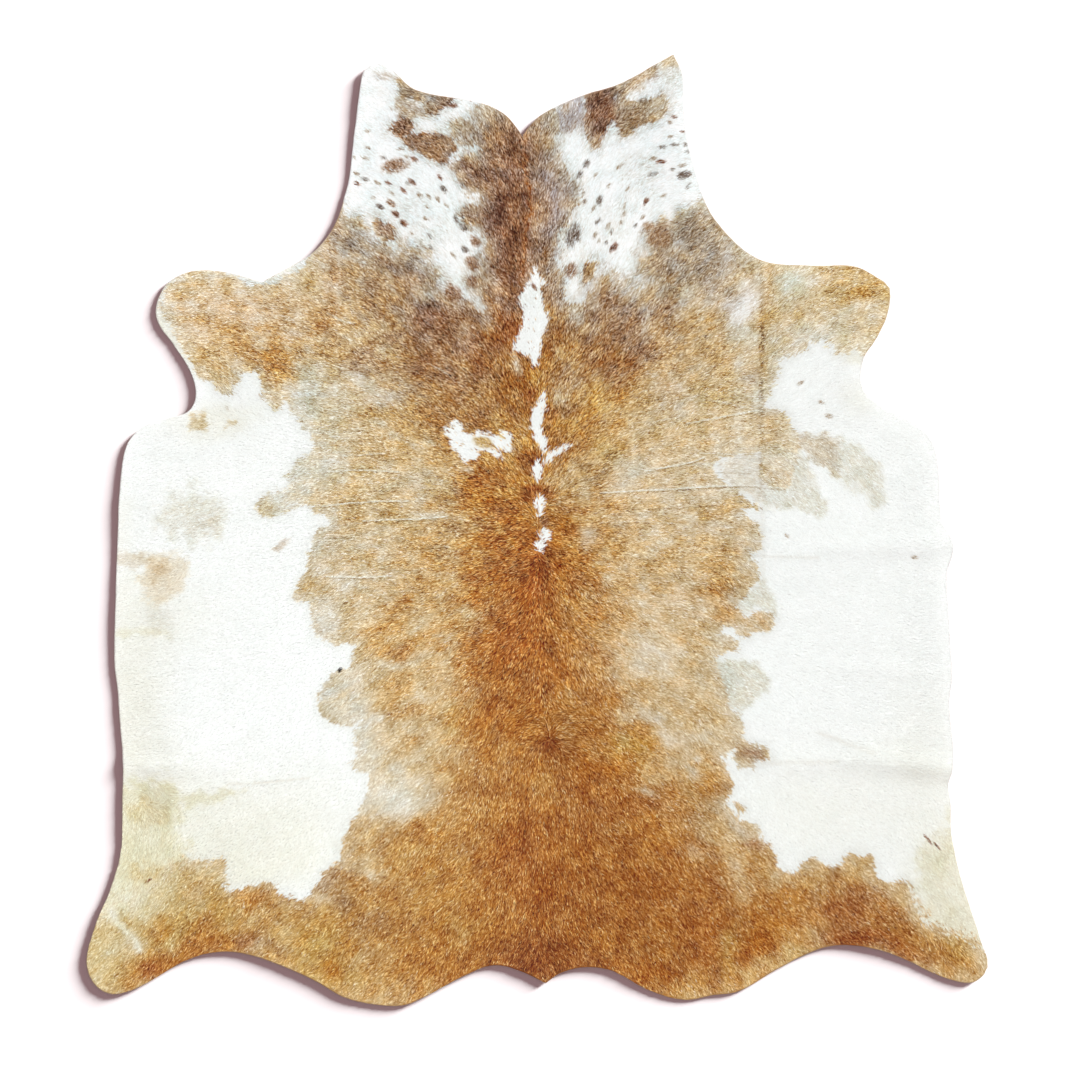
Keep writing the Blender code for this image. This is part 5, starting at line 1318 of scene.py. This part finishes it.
def with_crease_light_and_shade(x, y, colour):
    """The tones with painted highlights and painted shade of the creases drawn in, from places in
    centimetres.
    """
    colour = colour.copy()
    for crease in CREASE_LIGHT_AND_SHADE:
        near = in_box(x, y, crease.route, CREASE_MARGIN)
        gap, side = near_route(x[near], y[near], crease.route)
        on_it = np.exp(-(gap / crease.width) ** 2) * crease.shade
        below = np.exp(-((gap - SHADOW_AT * crease.width) / crease.width) ** 2)
        below = below * (side < 0) * max(crease.shade, 0)
        # painted highlight on pale creases, painted shade on dark creases and just below pale ones
        paler = np.clip(on_it, 0, None)[:, None]
        darker = np.clip(-on_it, 0, None)[:, None]
        drawn = colour[near] + paler * np.clip(tone("milk") - colour[near], 0, 255) * CREASE_HIGHLIGHT
        shadow = CREASE_SHADE_STRENGTH * darker + SHADOW_DARK * below[:, None]
        colour[near] = drawn * (1 - shadow * CREASE_SHADE)
    return colour


def with_grain(colour, stray, life):
    """Linear colours that stray from the given tones and keep their mean light.

    The mean light of hair that strays is taken from three places on its bell curve.
    """
    grain = (np.interp(colour.mean(1), GRAIN_AT, GRAIN) * life)[:, None] * GRAIN_BY_CHANNEL
    far = math.sqrt(3) * math.hypot(WISP_STRAY, BLADE_STRAY)
    mean = 2 / 3 * linear(colour)
    for sign in (-1, 1):
        mean += linear(colour + sign * far * grain) / 6
    return linear(colour + stray[:, None] * grain) * linear(colour) / mean


# ---------------------------------------------------------------- meshes


def add_object(name, data):
    thing = bpy.data.objects.new(name, data)
    bpy.context.scene.collection.objects.link(thing)
    return thing


def set_colours(mesh, colours):
    """The coat's linear colours, one for each vertex."""
    full = np.ones((len(colours), 4), dtype=np.float32)
    full[:, :3] = colours
    layer = mesh.color_attributes.new("coat", "FLOAT_COLOR", "POINT")
    layer.data.foreach_set("color", full.ravel())


def set_uv(mesh, uv):
    layer = mesh.uv_layers.new(name="OFBake")
    layer.data.foreach_set("uv", uv.astype(np.float32).ravel())


def flat_uv(plan):
    """A plan brought into the unit square."""
    low = plan.min(0)
    return (plan - low) / (plan.max(0) - low).max()


# ---------------------------------------------------------------- leather


def ways_along(outline):
    """The direction of a closed outline at each of its points."""
    along = np.roll(outline, -1, axis=0) - np.roll(outline, 1, axis=0)
    return along / np.linalg.norm(along, axis=1)[:, None]


def is_corner(before, here, after):
    return (here - before).angle(after - here) > EDGE_CORNER


def curved(before, start, end, after, t):
    """A place on the smooth curve through four points, between the middle two."""
    second = 2 * before - 5 * start + 4 * end - after
    third = 3 * start - before - 3 * end + after
    return 0.5 * (2 * start + (end - before) * t + second * t ** 2 + third * t ** 3)


def finer_outline(outline):
    """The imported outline, rounder, with closer points and the small waver of a cut edge."""
    count = len(outline)
    waver = Noise(SEED + 5)
    points = []
    for index in range(count):
        before, start, end, after = (outline[(index + k) % count] for k in (-1, 0, 1, 2))
        straight = is_corner(before, start, end) or is_corner(start, end, after)
        for part in range(EDGE_PARTS):
            t = part / EDGE_PARTS
            points.append(start.lerp(end, t) if straight else curved(before, start, end, after, t))
    points = np.array(points, dtype=np.float64)
    x, y = points.T
    along = ways_along(points)
    wide, fine = (waver.at(x, y, size) for size in EDGE_WAVES)
    shift = EDGE_ROUGHNESS * (0.6 * wide + 0.4 * fine)
    return np.stack([x - along[:, 1] * shift, y + along[:, 0] * shift], axis=1)


def leather_points(outline, rim):
    """The plan of the leather: its rim, one ring just inside it, and an even grid."""
    along = ways_along(outline)
    inward = np.stack([-along[:, 1], along[:, 0]], axis=1)
    ring = (outline + inward * EDGE_RING)[::2]
    ring = ring[rim.at(ring[:, 0], ring[:, 1]) > RING_CLEAR]
    centre = outline.mean(0)
    x, y = staggered_places((centre - HALF_BOX, centre + HALF_BOX), LEATHER_STEP)
    kept = rim.at(x, y) > EDGE_RING + 0.6 * LEATHER_STEP
    return np.concatenate([outline, ring, np.stack([x[kept], y[kept]], axis=1)])


def leather_plan(outline, rim):
    """The leather's points in plan, its triangles, and which of the points are its rim."""
    count = len(outline)
    points = [Vector(point) for point in leather_points(outline, rim)]
    edges = [(index, (index + 1) % count) for index in range(count)]
    flat, _, triangles, sources, _, _ = geometry.delaunay_2d_cdt(points, edges, [], 1, 1e-7)
    place_of = {source: index for index, group in enumerate(sources) for source in group}
    plan = np.array([tuple(point) for point in flat])
    faces = np.array(triangles)
    a, b, c = (plan[faces[:, k]] for k in range(3))
    to_b = b - a
    to_c = c - a
    turned = to_b[:, 0] * to_c[:, 1] - to_b[:, 1] * to_c[:, 0] < 0
    faces[turned] = faces[turned][:, ::-1]
    return plan, faces, np.array([place_of[index] for index in range(count)])


def make_leather(outline, rim, under, materials):
    """The leather as one closed sheet: hair side, flesh side and cut edge."""
    plan, faces, rim_places = leather_plan(outline, rim)
    x, y = plan.T
    waver = Noise(SEED + 6)
    low = under.at(x, y) + LEATHER_GAP
    high = low + LEATHER_THICKNESS + LEATHER_WAVER * waver.at(x, y, LEATHER_WAVER_SIZE)
    count = len(plan)
    following = np.roll(rim_places, -1)
    wall = np.stack([rim_places, following, following + count, rim_places + count], axis=1)
    vertices = np.concatenate([np.column_stack([plan, low]), np.column_stack([plan, high])])
    polygons = (faces + count).tolist() + faces[:, ::-1].tolist() + wall.tolist()
    mesh = bpy.data.meshes.new("hide_leather")
    mesh.from_pydata(vertices.tolist(), [], polygons)
    slots = np.repeat([0, 1, 2], [len(faces), len(faces), len(wall)])
    for material in materials:
        mesh.materials.append(material)
    mesh.polygons.foreach_set("material_index", slots.astype(np.int32))
    mesh.polygons.foreach_set("use_smooth", slots < 2)
    coat, _ = coat_of(x / CM, y / CM, np.random.default_rng(SEED + 7))
    shade = linear(coat) * LEATHER_SHADE
    set_colours(mesh, np.concatenate([shade, shade]))
    spread_uv(mesh, vertices[:, :2], slots)
    return add_object("hide_leather", mesh)


def spread_uv(mesh, plan, slots):
    """A flat UV map: the hair side on the left half, the flesh side and the edge on the right."""
    corners = np.empty(len(mesh.loops), dtype=np.int32)
    mesh.loops.foreach_get("vertex_index", corners)
    totals = np.empty(len(mesh.polygons), dtype=np.int32)
    mesh.polygons.foreach_get("loop_total", totals)
    uv = flat_uv(plan)[corners]
    uv[:, 0] = 0.49 * uv[:, 0] + 0.5 * np.repeat(slots > 0, totals)
    set_uv(mesh, uv)


# ---------------------------------------------------------------- coat

# How blades differ from each other. Pale hair lies flatter, in slightly longer and wider blades.
ROOT_ALONG = 1.6 * MM  # how far a blade stands from the middle of its wisp
ROOT_ACROSS = 0.7 * MM
ROOT_DEPTH = 0.5 * MM  # how far below the leather's surface it begins
BLADE_TURN = 11  # in degrees, from the way of its wisp
BLADE_ROLL = 10  # in degrees, about its own length
MOST_ROLL = 24
LENGTHS = (0.7, 1.25)
WIDTHS = (0.75, 1.25)
ROOT_HEIGHTS = (0.05, 0.3)  # shares of the pile at which the roots are seen
TIP_HEIGHT = 0.72
TIP_SPREAD = 0.34
COLOUR_PLACE = 0.4  # the share of its length at which a blade takes its spots and the creases' painted light and shade
PALE_EXTRA = 0.15  # how much longer and wider pale blades are
DARK_RANGE = 90  # how far below white a tone has blades that stand up fully
LEAST_TILT = 0.16
WHITEST = 0.98

# How the wisps turn from the lie of the coat, in degrees
WISP_TURN = 10
TUFT_TURN = 9
TUFT_SIZE = 45 * MM
SMALL_TUFT_TURN = 7
SMALL_TUFT_SIZE = 14 * MM


def wisp_places(rim, rng):
    """Where the wisps stand: an even grid, each place moved a little."""
    x, y = staggered_places(WISP_BOX, WISP_STEP)
    x = x + rng.uniform(-WISP_MOVE, WISP_MOVE, x.size) * WISP_STEP
    y = y + rng.uniform(-WISP_MOVE, WISP_MOVE, y.size) * WISP_STEP
    kept = rim.at(x, y) > RIM_BARE + WISP_CLEAR
    return x[kept], y[kept]


def turned_by(way, turn):
    cos, sin = np.cos(turn), np.sin(turn)
    return np.stack([way[:, 0] * cos - way[:, 1] * sin, way[:, 0] * sin + way[:, 1] * cos], axis=1)


def make_coat(rim, under, thickness, material):
    """The hair, as one mesh for each band of the hide from the tail up to the neck."""
    rng = np.random.default_rng(SEED)
    x, y = wisp_places(rim, rng)
    way = lie_of_hair(x / CM, y / CM)
    colour, life = coat_of(x / CM, y / CM, rng)
    colour = mottled(x / CM, y / CM, way, colour, life)
    stray = WISP_STRAY * rng.normal(0, 1, len(x))
    tufts = Noise(SEED + 8)
    turn = TUFT_TURN * tufts.at(x, y, TUFT_SIZE) + SMALL_TUFT_TURN * tufts.at(x, y, SMALL_TUFT_SIZE)
    way = turned_by(way, np.radians(turn + rng.normal(0, WISP_TURN, len(x))))
    pieces = []
    for band, chosen in enumerate(np.array_split(np.argsort(y), BAND_COUNT)):
        wisps = (values[chosen] for values in (x, y, way, colour, stray, life))
        corners, colours = blades(wisps, rim, under, thickness, rng)
        pieces.append(coat_mesh(f"coat_band_{band + 1}", corners, colours, material))
    return pieces


def blades(wisps, rim, under, thickness, rng):
    """The blades of a set of wisps: three corners each, with the colour at each corner."""
    wisps = (np.repeat(values, BLADES_PER_WISP, axis=0) for values in wisps)
    x, y, way, colour, stray, life = wisps
    count = len(x)
    tilt = np.clip((255 - colour.mean(1)) / DARK_RANGE, LEAST_TILT, 1)
    size = 1 + PALE_EXTRA - PALE_EXTRA * tilt
    way = turned_by(way, np.radians(rng.normal(0, BLADE_TURN, count)))
    side = np.stack([-way[:, 1], way[:, 0]], axis=1)
    along = rng.uniform(-ROOT_ALONG, ROOT_ALONG, count)
    across = rng.normal(0, ROOT_ACROSS, count)
    root_x = x + along * way[:, 0] + across * side[:, 0]
    root_y = y + along * way[:, 1] + across * side[:, 1]
    length = BLADE_LENGTH * size * rng.uniform(*LENGTHS, count)

    middle_x = (root_x + COLOUR_PLACE * length * way[:, 0]) / CM
    middle_y = (root_y + COLOUR_PLACE * length * way[:, 1]) / CM
    colour, life = spotted(middle_x, middle_y, colour, life)
    # painted highlights and painted shade of the coat's creases
    colour = with_crease_light_and_shade(middle_x, middle_y, colour)
    stray = stray + BLADE_STRAY * rng.normal(0, 1, count)
    # painted shade darkens the root of each blade and painted light lightens its tip
    root_colour = with_grain(colour, stray + ROOT_SHADE_STRAY, life)
    tip_colour = with_grain(colour, stray + TIP_LIGHT_STRAY, life)
    colours = np.clip(np.stack([root_colour, tip_colour, root_colour], axis=1), 0, WHITEST)

    room = rim.at(root_x + length * way[:, 0], root_y + length * way[:, 1]) - RIM_BARE
    length = np.where(room < 0, length + room, length)
    kept = (rim.at(root_x, root_y) > RIM_BARE) & (length > SHORTEST_BLADE)
    kept_blades = (values[kept] for values in (root_x, root_y, way, side, length, size, tilt))
    corners = blade_corners(*kept_blades, under, thickness, rng)
    return corners.reshape(-1, 3), colours[kept].reshape(-1, 3)


def blade_corners(root_x, root_y, way, side, length, size, tilt, under, thickness, rng):
    """The corners of each blade: its foot on one side, its tip, and its foot on the other side."""
    count = len(root_x)
    tip_x = root_x + length * way[:, 0]
    tip_y = root_y + length * way[:, 1]
    hair_space = thickness.at(tip_x, tip_y) - LEATHER_GAP - LEATHER_THICKNESS
    pile = np.clip(hair_space, PILE_LOW, PILE_HIGH)
    floor = LEATHER_GAP + LEATHER_THICKNESS
    root_height = floor - ROOT_DEPTH + pile * rng.uniform(*ROOT_HEIGHTS, count)
    tip_height = pile * (TIP_HEIGHT + TIP_SPREAD * tilt * rng.uniform(-1, 1, count))
    tip_z = under.at(tip_x, tip_y) + floor + tip_height
    half = BLADE_WIDTH / 2 * size * rng.uniform(*WIDTHS, count)
    roll = np.clip(rng.normal(0, BLADE_ROLL, count), -MOST_ROLL, MOST_ROLL)
    rise = half * np.tan(np.radians(tilt * roll))
    corners = np.empty((count, 3, 3))
    corners[:, 1] = np.stack([tip_x, tip_y, tip_z], axis=1)
    for corner, sign in ((0, 1), (2, -1)):
        foot_x = root_x + sign * half * side[:, 0]
        foot_y = root_y + sign * half * side[:, 1]
        foot_z = under.at(foot_x, foot_y) + root_height + sign * rise
        corners[:, corner] = np.stack([foot_x, foot_y, foot_z], axis=1)
    return corners


def coat_mesh(name, corners, colours, material):
    """One band of the coat, with a triangle for each three corners."""
    count = len(corners) // 3
    mesh = bpy.data.meshes.new(name)
    mesh.vertices.add(3 * count)
    mesh.vertices.foreach_set("co", corners.astype(np.float32).ravel())
    mesh.loops.add(3 * count)
    mesh.loops.foreach_set("vertex_index", np.arange(3 * count, dtype=np.int32))
    mesh.polygons.add(count)
    mesh.polygons.foreach_set("loop_start", 3 * np.arange(count, dtype=np.int32))
    mesh.materials.append(material)
    set_colours(mesh, colours)
    set_uv(mesh, flat_uv(corners[:, :2]))
    mesh.update(calc_edges=True)
    return add_object(name, mesh)


# ---------------------------------------------------------------- materials


def new_material(name, roughness, specular):
    material = bpy.data.materials.new(name)
    material.use_nodes = True
    shader = material.node_tree.nodes["Principled BSDF"]
    shader.inputs["Roughness"].default_value = roughness
    shader.inputs["Specular IOR Level"].default_value = specular
    return material, material.node_tree.nodes, material.node_tree.links, shader


def noise_node(nodes, links, scale, detail):
    where = nodes.new("ShaderNodeTexCoord")
    noise = nodes.new("ShaderNodeTexNoise")
    noise.inputs["Scale"].default_value = scale
    noise.inputs["Detail"].default_value = detail
    links.new(where.outputs["Object"], noise.inputs["Vector"])
    return noise.outputs["Fac"]


def set_base(nodes, links, shader, colour, noise, darkest, palest):
    """Links a colour to the shader, made darker and paler over the surface by a noise."""
    shade = nodes.new("ShaderNodeMapRange")
    shade.inputs["From Min"].default_value = 0.3
    shade.inputs["From Max"].default_value = 0.7
    shade.inputs["To Min"].default_value = darkest
    shade.inputs["To Max"].default_value = palest
    links.new(noise, shade.inputs["Value"])
    mix = nodes.new("ShaderNodeVectorMath")
    mix.operation = "SCALE"
    links.new(colour, mix.inputs[0])
    links.new(shade.outputs["Result"], mix.inputs["Scale"])
    links.new(mix.outputs["Vector"], shader.inputs["Base Color"])


def ramp_node(nodes, links, noise, dark, light):
    ramp = nodes.new("ShaderNodeValToRGB")
    ramp.color_ramp.elements[0].color = (*dark, 1)
    ramp.color_ramp.elements[1].color = (*light, 1)
    links.new(noise, ramp.inputs["Fac"])
    return ramp


def coat_material(name, roughness, specular, grain_scale, grain_detail, darkest):
    """Hair or skin in the colours that the mesh carries, with a fine grain."""
    material, nodes, links, shader = new_material(name, roughness, specular)
    coat = nodes.new("ShaderNodeAttribute")
    coat.attribute_name = "coat"
    noise = noise_node(nodes, links, grain_scale, grain_detail)
    set_base(nodes, links, shader, coat.outputs["Color"], noise, darkest, 1.05)
    return material


def suede_material(name, light, dark, cloud_scale, bump_height):
    """Napped leather: cloudy tone, fine fibre and a soft bump."""
    material, nodes, links, shader = new_material(name, 0.93, 0.15)
    clouds = noise_node(nodes, links, cloud_scale, 6)
    fibre = noise_node(nodes, links, 900, 4)
    ramp = ramp_node(nodes, links, clouds, dark, light)
    ramp.color_ramp.elements[0].position = 0.33
    ramp.color_ramp.elements[1].position = 0.68
    set_base(nodes, links, shader, ramp.outputs["Color"], fibre, 0.88, 1.08)
    bump = nodes.new("ShaderNodeBump")
    bump.inputs["Strength"].default_value = 0.5
    bump.inputs["Distance"].default_value = bump_height
    links.new(fibre, bump.inputs["Height"])
    links.new(bump.outputs["Normal"], shader.inputs["Normal"])
    return material


def floor_material():
    material, nodes, links, shader = new_material("pale floor", 0.9, 0.05)
    noise = noise_node(nodes, links, 6, 2)
    ramp = ramp_node(nodes, links, noise, (0.88, 0.88, 0.88), (0.9, 0.9, 0.9))
    links.new(ramp.outputs["Color"], shader.inputs["Base Color"])
    return material


# ---------------------------------------------------------------- floor, light and camera

FLOOR_SIZE = 14.0  # from the middle to each side
AMBIENT_COLOUR = (0.30, 0.19, 0.20)
LAMP_COLOUR = (0.94, 1.0, 0.99)

# The camera's own, with the photograph's frame at 2.2 mm a pixel and its middle beside the origin
FRAME_WIDTH = 2.376
FRAME_MIDDLE = (0.0077, -0.022)
LENS = 90
SENSOR_WIDTH = 36


def make_floor():
    mesh = bpy.data.meshes.new("floor")
    low, high = -FLOOR_SIZE, FLOOR_SIZE
    corners = [(low, low, 0), (high, low, 0), (high, high, 0), (low, high, 0)]
    mesh.from_pydata(corners, [], [(0, 1, 2, 3)])
    mesh.materials.append(floor_material())
    floor = add_object("floor", mesh)
    return floor


def add_light(name, kind, energy, colour, place, size, receivers):
    """A lamp that faces the origin and lights its receivers only; a far lamp's size is an angle."""
    data = bpy.data.lights.new(name, kind)
    data.energy = energy
    data.color = colour
    if kind == "AREA":
        data.shape = "DISK"
        data.size = size
    else:
        data.angle = math.radians(size)
    light = add_object(name, data)
    light.location = place
    light.rotation_euler = (-Vector(place)).to_track_quat("-Z", "Y").to_euler()
    group = bpy.data.collections.new(f"lit by {name}")
    for piece in receivers:
        group.objects.link(piece)
    light.light_linking.receiver_collection = group


def light_way(azimuth, elevation):
    """The way towards a far lamp, from its angles in degrees."""
    around, up = math.radians(azimuth), math.radians(elevation)
    return math.cos(around) * math.cos(up), math.sin(around) * math.cos(up), math.sin(up)


def light_scene(floor, pieces):
    """A soft box and a side lamp for the hide, and a low lamp for its shadow to the lower left."""
    world = bpy.data.worlds.new("studio")
    bpy.context.scene.world = world
    world.use_nodes = True
    ambient = world.node_tree.nodes["Background"]
    ambient.inputs["Color"].default_value = (*AMBIENT_COLOUR, 1)
    ambient.inputs["Strength"].default_value = 1.0
    add_light("low lamp", "SUN", 19.5, (1, 1, 1), light_way(35, 9.9), 15, [floor])
    add_light("side lamp", "SUN", 1.9, LAMP_COLOUR, light_way(62, 38), 18, pieces)
    add_light("overhead box", "AREA", 150, LAMP_COLOUR, (0.05, 0.05, 3.6), 5.5, pieces)
    settings = bpy.context.scene.view_settings
    settings.view_transform = "Standard"
    settings.look = "None"


def make_camera():
    """Straight above the hide, far enough away that it is seen flat."""
    data = bpy.data.cameras.new("camera")
    data.lens = LENS
    data.sensor_width = SENSOR_WIDTH
    camera = add_object("camera", data)
    camera.location = (*FRAME_MIDDLE, FRAME_WIDTH * LENS / SENSOR_WIDTH)
    bpy.context.scene.camera = camera


def main():
    """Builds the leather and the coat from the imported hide, and sets the studio around them."""
    hide = bpy.data.objects["hide"]
    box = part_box("hide")
    under, thickness = packed_heights(hide.data, box)
    outline = finer_outline(packed_outline(hide.data))
    low, x, y = grid_places(box, RIM_STEP, 4 * RIM_STEP)
    inside = inside_distance(x.ravel(), y.ravel(), outline).reshape(x.shape)
    rim = Grid(low, RIM_STEP, inside)
    materials = [
        coat_material("skin under the hair", 0.8, 0.2, 300, 3, 0.85),
        suede_material("flesh side", (0.66, 0.55, 0.42), (0.5, 0.4, 0.3), 9, 0.3 * MM),
        suede_material("cut edge", (0.72, 0.62, 0.5), (0.58, 0.48, 0.37), 40, 0.2 * MM),
    ]
    leather = make_leather(outline, rim, under, materials)
    hair = coat_material("cow hair", 0.6, 0.18, 420, 2, 0.95)
    coat = make_coat(rim, under, thickness, hair)
    for piece in [leather] + coat:
        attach(piece, "root")
        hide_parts("hide")
    floor = make_floor()
    light_scene(floor, [leather] + coat)
    make_camera()


main()
